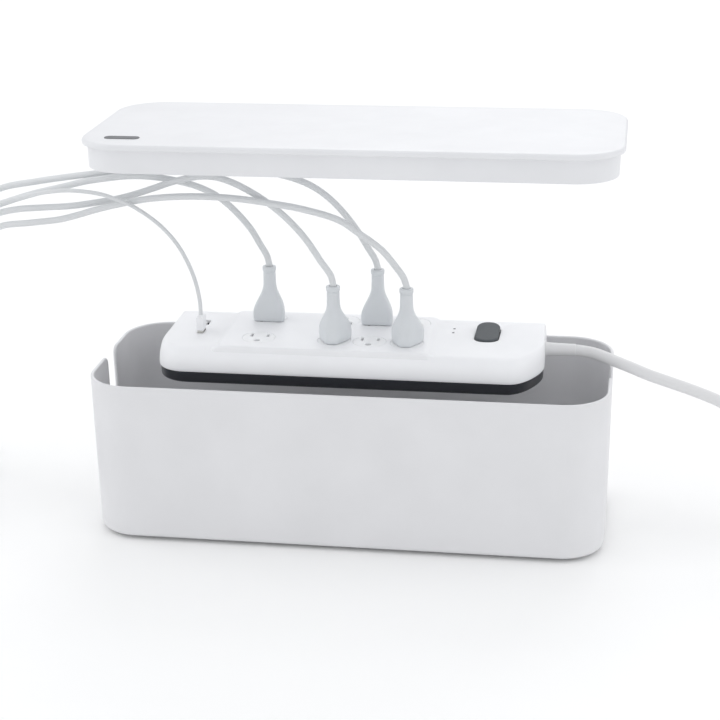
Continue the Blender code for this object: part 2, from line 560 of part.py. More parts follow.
def build_usb_plug():
    x, y = USB_PORTS[0]
    low = DECK_TOP + GAP
    rings = [level(outline(x - 0.0026, x + 0.0026, y - 0.0071, y + 0.0071, 0.0012, 0.0012, 2), low),
             level(outline(x - 0.0030, x + 0.0030, y - 0.0075, y + 0.0075, 0.0016, 0.0016, 2), low + 0.0008),
             level(outline(x - 0.0030, x + 0.0030, y - 0.0075, y + 0.0075, 0.0016, 0.0016, 2), low + 0.0110),
             level(outline(x - 0.0026, x + 0.0026, y - 0.0058, y + 0.0058, 0.0014, 0.0014, 2), low + 0.0130),
             level(outline(x - 0.0022, x + 0.0022, y - 0.0026, y + 0.0026, 0.0014, 0.0014, 2), low + 0.0137),
             level(outline(x - 0.0019, x + 0.0019, y - 0.0019, y + 0.0019, 0.0012, 0.0012, 2), low + 0.0164)]
    plug = solid("usb_plug", [rings], CORD_GREY, smooth=True)
    tongue = prism(outline(x - 0.0021, x + 0.0021, y - 0.0060, y + 0.0060), 0.1392, low + 0.003)
    boolean(plug, solid("usb_plug_tongue", [tongue], None), "UNION")


def connector(name, start, direction, width, height, sleeve, surface):
    """A moulded lead connector lying on the floor: a tapered sleeve, then a rounded body."""
    x, y = start

    def ring(step, half_w, low, high, r):
        mid, half_h = (low + high) / 2, (high - low) / 2
        r = min(r, half_w, half_h) * 0.98
        points = outline(-half_w, half_w, -half_h, half_h, r, r, 3)
        return [(x + direction * step, y + u, mid + v) for u, v in points]

    w, r = width / 2, sleeve / 2
    rings = [ring(0.0, r * 0.85, GAP, GAP + sleeve * 0.9, r),
             ring(0.0080, r * 1.05, GAP, GAP + sleeve * 1.1, r),
             ring(0.0095, w * 0.90, GAP, height * 0.92, 0.003),
             ring(0.0110, w, GAP, height, 0.003),
             ring(CONNECTOR_LENGTH - 0.001, w, GAP, height, 0.003),
             ring(CONNECTOR_LENGTH, w * 0.94, GAP + 0.0003, height * 0.97, 0.003)]
    solid(name, [rings], surface, smooth=True)


def build_device_leads():
    offset = reach(DEVICE_COIL_RADIUS, 2, DEVICE_CORD)
    for i, device in enumerate(DEVICES):
        column, row = device["outlet"]
        face = 1 if row == FRONT_ROW else -1
        build_plug(i + 1, OUTLET_COLUMNS[column], row, face)
        tube(f"device_cord_{i + 1}", device["route"], DEVICE_CORD, CORD_GREY)
        coil(f"device_coil_{i + 1}", device["coil"], DEVICE_COIL_RADIUS, DEVICE_CORD, 2, 3, CORD_GREY)
        x, y = device["coil"]
        side, end = device["side"], device["end"]
        leave = y - end * side * DEVICE_COIL_RADIUS
        connector(f"device_connector_{i + 1}", (x + end * offset, leave), end, 0.0124, 0.0085,
                  DEVICE_CORD + 0.001, CORD_GREY)


def build_usb_lead():
    build_usb_plug()
    tube("usb_cord", USB_ROUTE, USB_CORD, CORD_GREY)
    coil("usb_coil", USB_COIL_CENTRE, USB_COIL_RADIUS, USB_CORD, 2, 3, CORD_GREY)
    x, y = USB_COIL_CENTRE
    offset = reach(USB_COIL_RADIUS, 2, USB_CORD)
    connector("usb_device_connector", (x - offset, y + USB_COIL_RADIUS), -1, 0.0105, 0.0065,
              USB_CORD + 0.001, CORD_GREY)


def build_mains_lead():
    tube("mains_lead", LEAD_ROUTE, LEAD_CORD, LEAD_WHITE)
    coil("mains_coil", LEAD_COIL_CENTRE, LEAD_COIL_RADIUS, LEAD_CORD, 2, 3, LEAD_WHITE)
    x, y = LEAD_COIL_CENTRE
    offset = reach(LEAD_COIL_RADIUS, 2, LEAD_CORD)
    start, row, mid = x - offset, y + LEAD_COIL_RADIUS, 0.0125
    shape = ((0.0, 0.0046, 0.0046), (0.0160, 0.0062, 0.0060), (0.0180, 0.0100, 0.0095),
             (0.0200, 0.0116, 0.0112), (0.0330, 0.0128, 0.0121), (0.0390, 0.0128, 0.0121), (0.0400, 0.0122, 0.0116))
    rings = []
    for step, half_w, half_h in shape:
        section = plug_ring(half_w, half_h, 0.18 if step > 0.017 else 0.0, 0.0)
        rings.append([(start - step, row + u, mid + v) for u, v, _ in section])
    plug = solid("mains_plug", [rings], LEAD_WHITE, smooth=True)
    tip = start - 0.0400
    pins = [prism(outline(row + s * 0.00635 - 0.00075, row + s * 0.00635 + 0.00075, mid + 0.0055 - 0.0032,
                          mid + 0.0055 + 0.0032), tip - 0.0155, tip + 0.004, "X") for s in (-1, 1)]
    pins.append(prism(circle(row, mid - 0.0064, 0.0023, 12), tip - 0.0180, tip + 0.004, "X"))
    boolean(plug, solid("mains_plug_pins", pins, None), "UNION")


build_tub()
build_feet()
build_lid()
build_strip_shell()
build_strip_base()
build_screws()
build_outlets()
build_usb_block()
build_rocker()
build_strip_insides()
build_strain_relief()
build_device_leads()
build_usb_lead()
build_mains_lead()
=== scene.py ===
"""Looks of the lidded cable box: moulded plastic box, power strip, plugs, leads and their coils.

Units are metres, +Z is up, +X runs along the box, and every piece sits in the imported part's own frame.
"""

import math

import bmesh
import bpy
from mathutils import Matrix, Vector


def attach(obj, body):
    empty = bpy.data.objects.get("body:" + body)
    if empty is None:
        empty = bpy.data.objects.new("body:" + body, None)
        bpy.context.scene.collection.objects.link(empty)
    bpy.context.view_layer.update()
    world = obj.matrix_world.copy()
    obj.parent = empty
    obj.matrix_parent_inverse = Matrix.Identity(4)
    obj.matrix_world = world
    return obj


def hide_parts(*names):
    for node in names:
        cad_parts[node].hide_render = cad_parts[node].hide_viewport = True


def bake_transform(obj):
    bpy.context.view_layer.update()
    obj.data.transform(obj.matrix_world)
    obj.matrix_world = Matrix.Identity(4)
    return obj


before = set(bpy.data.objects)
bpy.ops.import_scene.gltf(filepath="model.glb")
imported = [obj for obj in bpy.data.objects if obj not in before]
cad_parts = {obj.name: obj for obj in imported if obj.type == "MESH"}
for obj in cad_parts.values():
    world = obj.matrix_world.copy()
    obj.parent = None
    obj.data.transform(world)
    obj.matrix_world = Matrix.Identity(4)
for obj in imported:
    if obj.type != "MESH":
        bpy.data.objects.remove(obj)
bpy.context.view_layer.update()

# --- Sizes repeated from the CAD source ------

BOX_LENGTH, BOX_DEPTH, CORNER_RADIUS = 0.406, 0.16, 0.036
FOOT_HEIGHT, TUB_TOP, TUB_WALL, TUB_FLOOR, TUB_TAPER = 0.0025, 0.1304, 0.0028, 0.003, 0.0015
GAP = 0.0003
SLOT_HALF_WIDTH, SLOT_BOTTOM, SLOT_LIP = 0.0105, 0.022, 0.007
LID_TOP, LID_PLATE, LID_SHIFT = 0.3185, 0.0045, (0.0045, 0.005)
SKIRT_HEIGHT, SKIRT_INSET, SKIRT_WALL = 0.018, 0.0036, 0.0022
STRIP_HALF, STRIP_FRONT, STRIP_BACK = 0.151, -0.049, 0.051
STRIP_BOTTOM, STRIP_SPLIT, DECK_TOP, PANEL_TOP = 0.1237, 0.133, 0.1505, 0.1535
STRIP_FRONT_RADIUS, STRIP_BACK_RADIUS, STRIP_WALL = 0.024, 0.0016, 0.002
OUTLET_COLUMNS, FRONT_ROW, BACK_ROW = (-0.0735, -0.0133, 0.0146, 0.044), -0.0185, 0.029
OUTLET_RADIUS, OUTLET_BOTTOM = 0.0131, 0.1365
BLADE_ASIDE, BLADE_OUT, EARTH_OUT = 0.00635, 0.0055, 0.0064
ROCKER_CENTRE, ROCKER_SIZE = (0.1038, 0.0172, 0.1478), (0.0185, 0.035)
USB_PORTS, LAMP_PLACES = ((-0.1245, 0.0003), (-0.1252, 0.0215)), ((0.0763, 0.0281), (0.0763, 0.0184))
LEAD_EXIT, RELIEF_END = (0.151, 0.0125, 0.1418), 0.1735
PLUG_HEIGHT = 0.0442
DEVICE_CORD, USB_CORD, LEAD_CORD = 0.0052, 0.0032, 0.009
DEVICE_COIL_RADIUS, USB_COIL_RADIUS, LEAD_COIL_RADIUS = 0.026, 0.016, 0.045
USB_COIL_CENTRE, LEAD_COIL_CENTRE = (-0.372, 0.0702), (0.434, 0.03)
CONNECTOR_LENGTH = 0.028
DEVICE_CONNECTOR, USB_CONNECTOR, SLEEVE_EXTRA = (0.0124, 0.0085), (0.0105, 0.0065), 0.001
WALL_PLUG_LENGTH = 0.04

# Heights that holes through the top of the strip start from and end at.
HOLE_LOW, HOLE_HIGH = 0.14, 0.17

# --- Camera ----------------------------------

CAMERA_PLACE = Vector((0.2162, -1.301, 0.6064))
CAMERA_YAW, CAMERA_PITCH, CAMERA_ROLL = math.radians(-9.267), math.radians(19.83), math.radians(-0.918)
CAMERA_LENS = 88.15


def make_camera():
    yaw, pitch, roll = CAMERA_YAW, CAMERA_PITCH, CAMERA_ROLL
    level_ahead = math.cos(pitch)
    forward = Vector((math.sin(yaw) * level_ahead, math.cos(yaw) * level_ahead, -math.sin(pitch)))
    side = Vector((math.cos(yaw), -math.sin(yaw), 0.0))
    above = side.cross(forward)
    right = math.cos(roll) * side + math.sin(roll) * above
    up = math.cos(roll) * above - math.sin(roll) * side
    data = bpy.data.cameras.new("camera")
    data.lens, data.sensor_width = CAMERA_LENS, 36.0
    camera = bpy.data.objects.new("camera", data)
    camera.matrix_world = Matrix((right, up, -forward)).transposed().to_4x4()
    camera.location = CAMERA_PLACE
    bpy.context.scene.collection.objects.link(camera)
    bpy.context.scene.camera = camera


make_camera()

# --- Materials -------------------------------


def plastic(name, colour, roughness, mottle=0.02, grain=0.00004, grain_size=0.0006, coat=0.0,
            metallic=0.0, swirl=0.05, sheen=0.0):
    """A moulded or metal finish: soft mottling of the colour, uneven gloss and a fine grain."""
    made = bpy.data.materials.new(name)
    made.use_nodes = True
    tree = made.node_tree
    shader = tree.nodes["Principled BSDF"]
    place = tree.nodes.new("ShaderNodeTexCoord")

    def noise(size, detail, rough=0.5):
        texture = tree.nodes.new("ShaderNodeTexNoise")
        texture.inputs["Scale"].default_value = 1.0 / size
        texture.inputs["Detail"].default_value = detail
        texture.inputs["Roughness"].default_value = rough
        tree.links.new(place.outputs["Object"], texture.inputs["Vector"])
        return texture.outputs["Fac"]

    def between(value, low, high):
        scale = tree.nodes.new("ShaderNodeMapRange")
        scale.inputs["From Min"].default_value, scale.inputs["From Max"].default_value = 0.3, 0.7
        scale.inputs["To Min"].default_value, scale.inputs["To Max"].default_value = low, high
        tree.links.new(value, scale.inputs["Value"])
        return scale.outputs["Result"]

    tint = tree.nodes.new("ShaderNodeMix")
    tint.data_type = "RGBA"
    tint.inputs[6].default_value = (*[c * (1 - mottle) for c in colour], 1.0)
    tint.inputs[7].default_value = (*[min(1.0, c * (1 + mottle)) for c in colour], 1.0)
    tree.links.new(between(noise(0.045, 4.0), 0.0, 1.0), tint.inputs[0])
    tree.links.new(tint.outputs[2], shader.inputs["Base Color"])
    gloss = between(noise(0.012, 5.0, 0.6), roughness - swirl, roughness + swirl)
    tree.links.new(gloss, shader.inputs["Roughness"])
    bump = tree.nodes.new("ShaderNodeBump")
    bump.inputs["Distance"].default_value = grain
    bump.inputs["Strength"].default_value = 0.6
    tree.links.new(noise(grain_size, 3.0), bump.inputs["Height"])
    tree.links.new(bump.outputs["Normal"], shader.inputs["Normal"])
    shader.inputs["Metallic"].default_value = metallic
    shader.inputs["Coat Weight"].default_value = coat
    shader.inputs["Coat Roughness"].default_value = 0.25
    shader.inputs["Sheen Weight"].default_value = sheen
    return made


def metal(name, colour, roughness, mottle=0.05):
    return plastic(name, colour, roughness, mottle, metallic=1.0, grain=0.00001, grain_size=0.0003)


BOX_WHITE = plastic("box_white", (0.772, 0.772, 0.786), 0.42, grain=0.00005, grain_size=0.0007)
LID_WHITE = plastic("lid_white", (0.795, 0.8, 0.818), 0.4, grain=0.00005, grain_size=0.0007)
MARK_GREY = plastic("mark_grey", (0.125, 0.13, 0.14), 0.5, mottle=0.05, grain=0.00002)
FOOT_RUBBER = plastic("foot_rubber", (0.3, 0.31, 0.33), 0.75, mottle=0.06, grain=0.0001,
                      grain_size=0.0009)
STRIP_WHITE = plastic("strip_white", (0.925, 0.93, 0.945), 0.5, grain=0.00003, grain_size=0.0005)
STRIP_DARK = plastic("strip_dark", (0.02, 0.022, 0.028), 0.4, mottle=0.08, grain=0.00005)
OUTLET_WHITE = plastic("outlet_white", (0.925, 0.93, 0.94), 0.48, grain=0.00003, grain_size=0.0005)
PORT_BLACK = plastic("port_black", (0.018, 0.018, 0.02), 0.45, mottle=0.08)
SWITCH_GREY = plastic("switch_grey", (0.086, 0.096, 0.104), 0.62, mottle=0.04, grain=0.00005,
                      grain_size=0.0004)
LAMP_LENS = plastic("lamp_lens", (0.16, 0.17, 0.18), 0.22, mottle=0.05, grain=0.00001, coat=0.4)
COPPER = metal("copper", (0.72, 0.42, 0.25), 0.32, 0.08)
NICKEL = metal("nickel", (0.62, 0.61, 0.58), 0.26)
STEEL = metal("steel", (0.55, 0.55, 0.57), 0.3)
BOARD_GREEN = plastic("board_green", (0.04, 0.19, 0.09), 0.4, mottle=0.12, grain=0.00006,
                      grain_size=0.0015)
CORD_GREY = plastic("cord_grey", (0.735, 0.75, 0.76), 0.48, mottle=0.03, grain_size=0.0005)
PLUG_GREY = plastic("plug_grey", (0.715, 0.74, 0.76), 0.46, mottle=0.03, grain_size=0.0005)
LEAD_WHITE = plastic("lead_white", (0.765, 0.765, 0.77), 0.46, mottle=0.03)
TIE_DARK = plastic("tie_dark", (0.045, 0.047, 0.052), 0.85, mottle=0.25, grain=0.0002,
                   grain_size=0.0004, sheen=0.3)

# --- Mesh building ---------------------------


def piece(name, bm, surface, body, sharp=35.0):
    """Turns a bmesh into a piece that rides on a body, or that stays unattached if body is None."""
    bmesh.ops.remove_doubles(bm, verts=bm.verts, dist=1e-7)
    bmesh.ops.recalc_face_normals(bm, faces=bm.faces)
    mesh = bpy.data.meshes.new(name)
    bm.to_mesh(mesh)
    bm.free()
    mesh.shade_smooth()
    mesh.set_sharp_from_angle(angle=math.radians(sharp))
    mesh.materials.append(surface)
    made = bpy.data.objects.new(name, mesh)
    bpy.context.scene.collection.objects.link(made)
    if body:
        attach(made, body)
    return made


def arc(steps, start, end):
    return [math.radians(start + (end - start) * i / steps) for i in range(steps + 1)]


def outline(x_low, x_high, y_front, y_back, r_front, r_back, steps=12):
    """Counter-clockwise plan of a rectangle with rounded corners."""
    corners = ((x_high, y_back, r_back, -1, -1), (x_low, y_back, r_back, 1, -1),
               (x_low, y_front, r_front, 1, 1), (x_high, y_front, r_front, -1, 1))
    return [(x + tx * r + r * math.cos(a), y + ty * r + r * math.sin(a))
            for quarter, (x, y, r, tx, ty) in enumerate(corners)
            for a in arc(steps, 90 * quarter, 90 * quarter + 90)]


def block(x, y, half_x, half_y, r=0.0004, steps=3):
    return outline(x - half_x, x + half_x, y - half_y, y + half_y, r, r, steps)


def circle(x, y, radius, steps=48):
    angles = [2 * math.pi * i / steps for i in range(steps)]
    return [(x + radius * math.cos(a), y + radius * math.sin(a)) for a in angles]


def level(points, z):
    return [(x, y, z) for x, y in points]


def loft(bm, rings, caps=True):
    """Adds a skin through rings of equal length, closed at its two ends."""
    rows = [[bm.verts.new(p) for p in ring] for ring in rings]
    count = len(rows[0])
    for low, high in zip(rows, rows[1:]):
        for i in range(count):
            bm.faces.new((low[i], low[(i + 1) % count], high[(i + 1) % count], high[i]))
    if caps:
        bm.faces.new(list(reversed(rows[0])))
        bm.faces.new(rows[-1])
    return rows


def lofted(name, bodies, surface, body, sharp=35.0):
    bm = bmesh.new()
    for rings in bodies:
        loft(bm, rings)
    return piece(name, bm, surface, body, sharp)


def cut(target, bodies, operation="DIFFERENCE"):
    """Cuts lofted bodies out of a piece, or joins them to it, and keeps the result in its mesh."""
    bm = bmesh.new()
    for rings in bodies:
        loft(bm, rings)
    bmesh.ops.recalc_face_normals(bm, faces=bm.faces)
    mesh = bpy.data.meshes.new("tool")
    bm.to_mesh(mesh)
    bm.free()
    tool = bpy.data.objects.new("tool", mesh)
    bpy.context.scene.collection.objects.link(tool)
    step = target.modifiers.new("cut", "BOOLEAN")
    step.operation, step.object, step.solver = operation, tool, "EXACT"
    bpy.context.view_layer.update()
    made = bpy.data.meshes.new_from_object(target.evaluated_get(bpy.context.evaluated_depsgraph_get()))
    target.modifiers.clear()
    target.data = made
    made.shade_smooth()
    made.set_sharp_from_angle(angle=math.radians(32))
    bpy.data.objects.remove(tool)
    return target


# --- Cords -----------------------------------

# Each device lead: its outlet, its coil's centre, the side it comes in on (+1 is +Y), the way it leaves
# the coil along X, and its route.
DEVICES = (
    {"outlet": (0, BACK_ROW), "coil": (-0.372, 0.013), "side": 1, "end": 1,
     "route": (
        (-0.0735, 0.029, 0.1996), (-0.0748, 0.0287, 0.206), (-0.08, 0.0272, 0.2165),
        (-0.0866, 0.0258, 0.229), (-0.0996, 0.0229, 0.2457), (-0.1129, 0.0199, 0.2578),
        (-0.1262, 0.0168, 0.265), (-0.14, 0.0137, 0.2697), (-0.158, 0.0095, 0.2738),
        (-0.178, 0.004, 0.2756), (-0.196, 0.001, 0.2741), (-0.213, 0.001, 0.2712),
        (-0.2292, 0.0012, 0.267), (-0.258, 0.0025, 0.2595), (-0.286, 0.005, 0.25),
        (-0.308, 0.0095, 0.241), (-0.326, 0.013, 0.218), (-0.3335, 0.017, 0.18),
        (-0.3335, 0.0215, 0.13), (-0.3315, 0.027, 0.085), (-0.3295, 0.0325, 0.05),
        (-0.331, 0.036, 0.025), (-0.338, 0.0383, 0.0085), (-0.3508, 0.039, 0.003))},
    {"outlet": (1, FRONT_ROW), "coil": (-0.438, -0.053), "side": -1, "end": -1,
     "route": (
        (-0.0133, -0.0185, 0.1996), (-0.0148, -0.0184, 0.206), (-0.0225, -0.0175, 0.217),
        (-0.0349, -0.016, 0.2349), (-0.0489, -0.0142, 0.2495), (-0.0631, -0.0124, 0.2605),
        (-0.0774, -0.0106, 0.269), (-0.0911, -0.0088, 0.2752), (-0.106, -0.006, 0.2788),
        (-0.12, -0.004, 0.2785), (-0.1401, -0.001, 0.2735), (-0.158, 0.002, 0.2668),
        (-0.1754, 0.004, 0.2606), (-0.19, 0.005, 0.2565), (-0.2039, 0.0055, 0.2536),
        (-0.2276, 0.0052, 0.2498), (-0.2521, 0.0045, 0.248), (-0.2728, 0.002, 0.2465),
        (-0.29, -0.001, 0.2425), (-0.309, -0.007, 0.232), (-0.325, -0.0165, 0.211),
        (-0.335, -0.029, 0.178), (-0.3395, -0.043, 0.135), (-0.342, -0.058, 0.088),
        (-0.345, -0.072, 0.047), (-0.352, -0.083, 0.017), (-0.364, -0.0875, 0.005),
        (-0.38, -0.088, 0.003), (-0.396, -0.085, 0.003), (-0.407, -0.0805, 0.003),
        (-0.4168, -0.079, 0.003))},
    {"outlet": (2, BACK_ROW), "coil": (-0.438, 0.013), "side": 1, "end": -1,
     "route": (
        (0.0146, 0.029, 0.1996), (0.0128, 0.0288, 0.206), (0.0068, 0.028, 0.2165),
        (0.0, 0.0272, 0.2284), (-0.0113, 0.026, 0.2442), (-0.0236, 0.0247, 0.2572),
        (-0.0359, 0.0234, 0.2661), (-0.0498, 0.0219, 0.2722), (-0.07, 0.0198, 0.2775),
        (-0.095, 0.0172, 0.2815), (-0.125, 0.014, 0.2832), (-0.155, 0.0108, 0.2824),
        (-0.18, 0.0084, 0.2796), (-0.204, 0.007, 0.2765), (-0.23, 0.0082, 0.2726),
        (-0.258, 0.0105, 0.2675), (-0.286, 0.014, 0.2612), (-0.313, 0.019, 0.248),
        (-0.331, 0.025, 0.22), (-0.339, 0.031, 0.18), (-0.3415, 0.037, 0.13),
        (-0.3415, 0.042, 0.085), (-0.3425, 0.0455, 0.045), (-0.348, 0.0472, 0.017),
        (-0.359, 0.0476, 0.005), (-0.372, 0.0476, 0.003), (-0.386, 0.047, 0.003),
        (-0.4, 0.043, 0.003), (-0.408, 0.0402, 0.003), (-0.4168, 0.039, 0.003))},
    {"outlet": (3, FRONT_ROW), "coil": (-0.372, -0.053), "side": -1, "end": 1,
     "route": (
        (0.044, -0.0185, 0.1996), (0.042, -0.0184, 0.206), (0.0344, -0.0178, 0.2165),
        (0.0249, -0.0195, 0.2285), (0.007, -0.0208, 0.242), (-0.0069, -0.0212, 0.2512),
        (-0.0349, -0.0208, 0.259), (-0.0635, -0.0192, 0.263), (-0.085, -0.017, 0.2649),
        (-0.1062, -0.0145, 0.2653), (-0.1332, -0.011, 0.264), (-0.1607, -0.0075, 0.2605),
        (-0.1884, -0.0042, 0.254), (-0.206, -0.0026, 0.249), (-0.2231, -0.0014, 0.2435),
        (-0.2371, -0.0014, 0.24), (-0.26, -0.002, 0.237), (-0.2854, -0.004, 0.2335),
        (-0.302, -0.008, 0.2225), (-0.313, -0.015, 0.201), (-0.32, -0.027, 0.165),
        (-0.3235, -0.041, 0.12), (-0.326, -0.0555, 0.078), (-0.3272, -0.068, 0.045),
        (-0.33, -0.075, 0.022), (-0.338, -0.0783, 0.008), (-0.3508, -0.079, 0.003))},
)
USB_ROUTE = (
    (-0.1245, 0.0003, 0.1679), (-0.1247, 0.0002, 0.175), (-0.1268, -0.0004, 0.1895),
    (-0.131, -0.0017, 0.2043), (-0.1392, -0.0033, 0.222), (-0.1487, -0.006, 0.2355),
    (-0.157, -0.0085, 0.2442), (-0.1675, -0.0108, 0.2525), (-0.176, -0.0118, 0.2575),
    (-0.1869, -0.011, 0.2612), (-0.2, -0.0085, 0.264), (-0.2239, -0.0066, 0.2655),
    (-0.24, -0.0062, 0.264), (-0.261, -0.0062, 0.26), (-0.2822, -0.0055, 0.254),
    (-0.299, -0.002, 0.2465), (-0.31, 0.005, 0.23), (-0.315, 0.0145, 0.198), (-0.318, 0.027, 0.16),
    (-0.321, 0.041, 0.122), (-0.325, 0.055, 0.085), (-0.331, 0.068, 0.05), (-0.3385, 0.078, 0.022),
    (-0.3455, 0.0835, 0.007), (-0.3515, 0.0856, 0.0026), (-0.3587, 0.0862, 0.002)
)
LEAD_ROUTE = (
    (0.176, 0.0125, 0.1416), (0.185, 0.0117, 0.1408), (0.1945, 0.0088, 0.139),
    (0.205, 0.0048, 0.1364), (0.2168, 0.0012, 0.1332), (0.2316, -0.002, 0.1284),
    (0.2471, -0.0027, 0.1236), (0.2688, -0.0036, 0.1166), (0.287, -0.0046, 0.1095),
    (0.305, -0.0062, 0.0985), (0.322, -0.0085, 0.0815), (0.337, -0.011, 0.059),
    (0.35, -0.0132, 0.0365), (0.3635, -0.0145, 0.019), (0.3795, -0.015, 0.0085),
    (0.3975, -0.015, 0.0048)
)


def smooth_route(points, spacing):
    """Points every spacing along a centripetal Catmull-Rom curve through the route."""
    route = [Vector(p) for p in points]
    route = [2 * route[0] - route[1], *route, 2 * route[-1] - route[-2]]
    dense = []
    for a, b, c, d in zip(route, route[1:], route[2:], route[3:]):
        ta = 0.0
        tb = ta + math.sqrt((b - a).length)
        tc = tb + math.sqrt((c - b).length)
        td = tc + math.sqrt((d - c).length)
        for i in range(12):
            t = tb + (tc - tb) * i / 12
            ab = (tb - t) / (tb - ta) * a + (t - ta) / (tb - ta) * b
            bc = (tc - t) / (tc - tb) * b + (t - tb) / (tc - tb) * c
            cd = (td - t) / (td - tc) * c + (t - tc) / (td - tc) * d
            abc = (tc - t) / (tc - ta) * ab + (t - ta) / (tc - ta) * bc
            bcd = (td - t) / (td - tb) * bc + (t - tb) / (td - tb) * cd
            dense.append((tc - t) / (tc - tb) * abc + (t - tb) / (tc - tb) * bcd)
    dense.append(route[-2])
    return even(dense, spacing)


def even(points, spacing):
    """The same line with its points evenly spaced."""
    lengths = [0.0]
    for a, b in zip(points, points[1:]):
        lengths.append(lengths[-1] + (b - a).length)
    count = max(2, round(lengths[-1] / spacing))
    out, i = [], 0
    for k in range(count + 1):
        want = lengths[-1] * k / count
        while i < len(points) - 2 and lengths[i + 1] < want:
            i += 1
        share = (want - lengths[i]) / max(lengths[i + 1] - lengths[i], 1e-9)
        out.append(points[i].lerp(points[i + 1], min(1.0, share)))
    return out


def ease(t):
    t = max(0.0, min(1.0, t))
    return t * t * t * (t * (6 * t - 15) + 10)


def winding(centre, radius, diameter, start_angle, turn, moves, total, steps=48):
    """Turns of a coil from start_angle, counter-clockwise where turn is 1.

    moves says at how many degrees along the cord steps to another place in the bundle, as
    (from, lane, layer): lane is -1 for inner and 1 for outer, and each step takes 60 degrees.
    """
    points = []
    count = round(total / 360 * steps)
    for i in range(count + 1):
        along = total * i / count
        lane, layer = 1.0, 0.0
        for begin, next_lane, next_layer in moves:
            share = ease((along - begin) / 60)
            lane += (next_lane - lane) * share
            layer += (next_layer - layer) * share
        r = radius + lane * diameter / 2
        a = start_angle + turn * math.radians(along)
        points.append(Vector((centre[0] + r * math.cos(a), centre[1] + r * math.sin(a),
                              2 * GAP + diameter * (0.5 + layer))))
    return points


def tube(name, line, diameter, surface, sides=14):
    """A round cord's skin along a line, closed with flat ends."""
    bm = bmesh.new()
    radius = diameter / 2
    last = len(line) - 1
    tangents = [(line[min(i + 1, last)] - line[max(i - 1, 0)]).normalized() for i in range(last + 1)]
    side = tangents[0].orthogonal().normalized()
    rings = []
    for p, t in zip(line, tangents):
        side = (side - t * side.dot(t)).normalized()
        other = t.cross(side)
        rings.append([p + radius * (math.cos(2 * math.pi * k / sides) * side
                                    + math.sin(2 * math.pi * k / sides) * other) for k in range(sides)])
    loft(bm, rings)
    return piece(name, bm, surface, None, sharp=60)


# Turns of a coil, in degrees, and where its cord steps over.
FIVE_TURNS, FOUR_TURNS_AND_A_HALF = 1800, 1620
MOVES_3 = ((140, -1, 0), (440, -1, 1), (740, -1, 2), (1040, 1, 2), (1340, 1, 1), (1640, 1, 0))
MOVES_3_HALF = tuple((a - 120, lane, layer) for a, lane, layer in MOVES_3)
MOVES_LEAD = tuple((a - 40, lane, layer) for a, lane, layer in MOVES_3[:5])


def lead_line(start, route, spacing, turns, into_plug):
    """One line from inside the plug, along the route and through the coil, to the far connector."""
    line = smooth_route(route, spacing)
    inside = [start + (line[0] - start) * k / 6 for k in range(6)]
    line = inside + line
    # The last stretch of the route and the coil meet on a common tangent.
    end, first = line[-1], turns[0]
    between = [end.lerp(first, k / 6) for k in range(1, 6)]
    out = turns[-1]
    after = [out.lerp(into_plug, k / 5) for k in range(1, 6)]
    points = line + between + turns + after
    for _ in range(3):
        joint = range(len(line) - 3, len(line) + 9)
        tail = range(len(points) - 9, len(points) - 1)
        for i in [*joint, *tail]:
            points[i] = (points[i - 1] + 2 * points[i] + points[i + 1]) / 4
    return points


def coil_tie(name, centre, radius, diameter, across, high, angle, width=0.009):
    """A soft strap that is wrapped once round the bundle of a coil."""
    half, top, thick = across * diameter / 2, high * diameter + 2 * GAP, 0.0009
    r = diameter * 0.5
    inner = outline(radius - half - 0.0002, radius + half + 0.0002, GAP, top + 0.0004, r, r, 6)
    bm = bmesh.new()
    rows = []
    for skin in (0.0, 1.0):
        for edge in (-1, 1):
            ring = []
            for u, v in inner:
                du, dv = u - radius, v - top / 2
                long = math.hypot(du, dv)
                grow = thick * skin * (0.85 if v > GAP + 0.0004 else 0.2)
                ring.append((u + du / long * grow, max(0.0001, v + dv / long * grow), edge * width / 2))
            rows.append(ring)
    rows = [rows[0], rows[1], rows[3], rows[2]]
    turn = Matrix.Rotation(angle, 3, "Z")
    rings = [[Vector((*centre, 0.0)) + turn @ Vector((u, w, v)) for u, v, w in ring] for ring in rows]
    made = [[bm.verts.new(p) for p in ring] for ring in rings]
    count = len(made[0])
    for a, b in zip(made, made[1:] + made[:1]):
        for i in range(count):
            bm.faces.new((a[i], a[(i + 1) % count], b[(i + 1) % count], b[i]))
    return piece(name, bm, TIE_DARK, "tub", sharp=40)


def plug_section(scale, roundness, ridge):
    """A plug's section: a flat back, and sides that run to a ridge at the front."""
    walls = ((1, 0, 1.0), (-1, 0, 1.0), (0, 1, 0.8), (0, -1, 1.0),
             (0.86, -0.51, 0.8), (-0.86, -0.51, 0.8))
    points = []
    for i in range(64):
        a = 2 * math.pi * i / 64
        c, s = math.cos(a), math.sin(a)
        total = 0.0
        for nx, ny, h in walls:
            h = h + (1 - h) * (1 - ridge)
            total += max(0.0, (nx * c + ny * s) / h) ** 13
        r = total ** (-1 / 13)
        r += (1.0 - r) * roundness
        points.append((scale * r * c, scale * r * s))
    return points


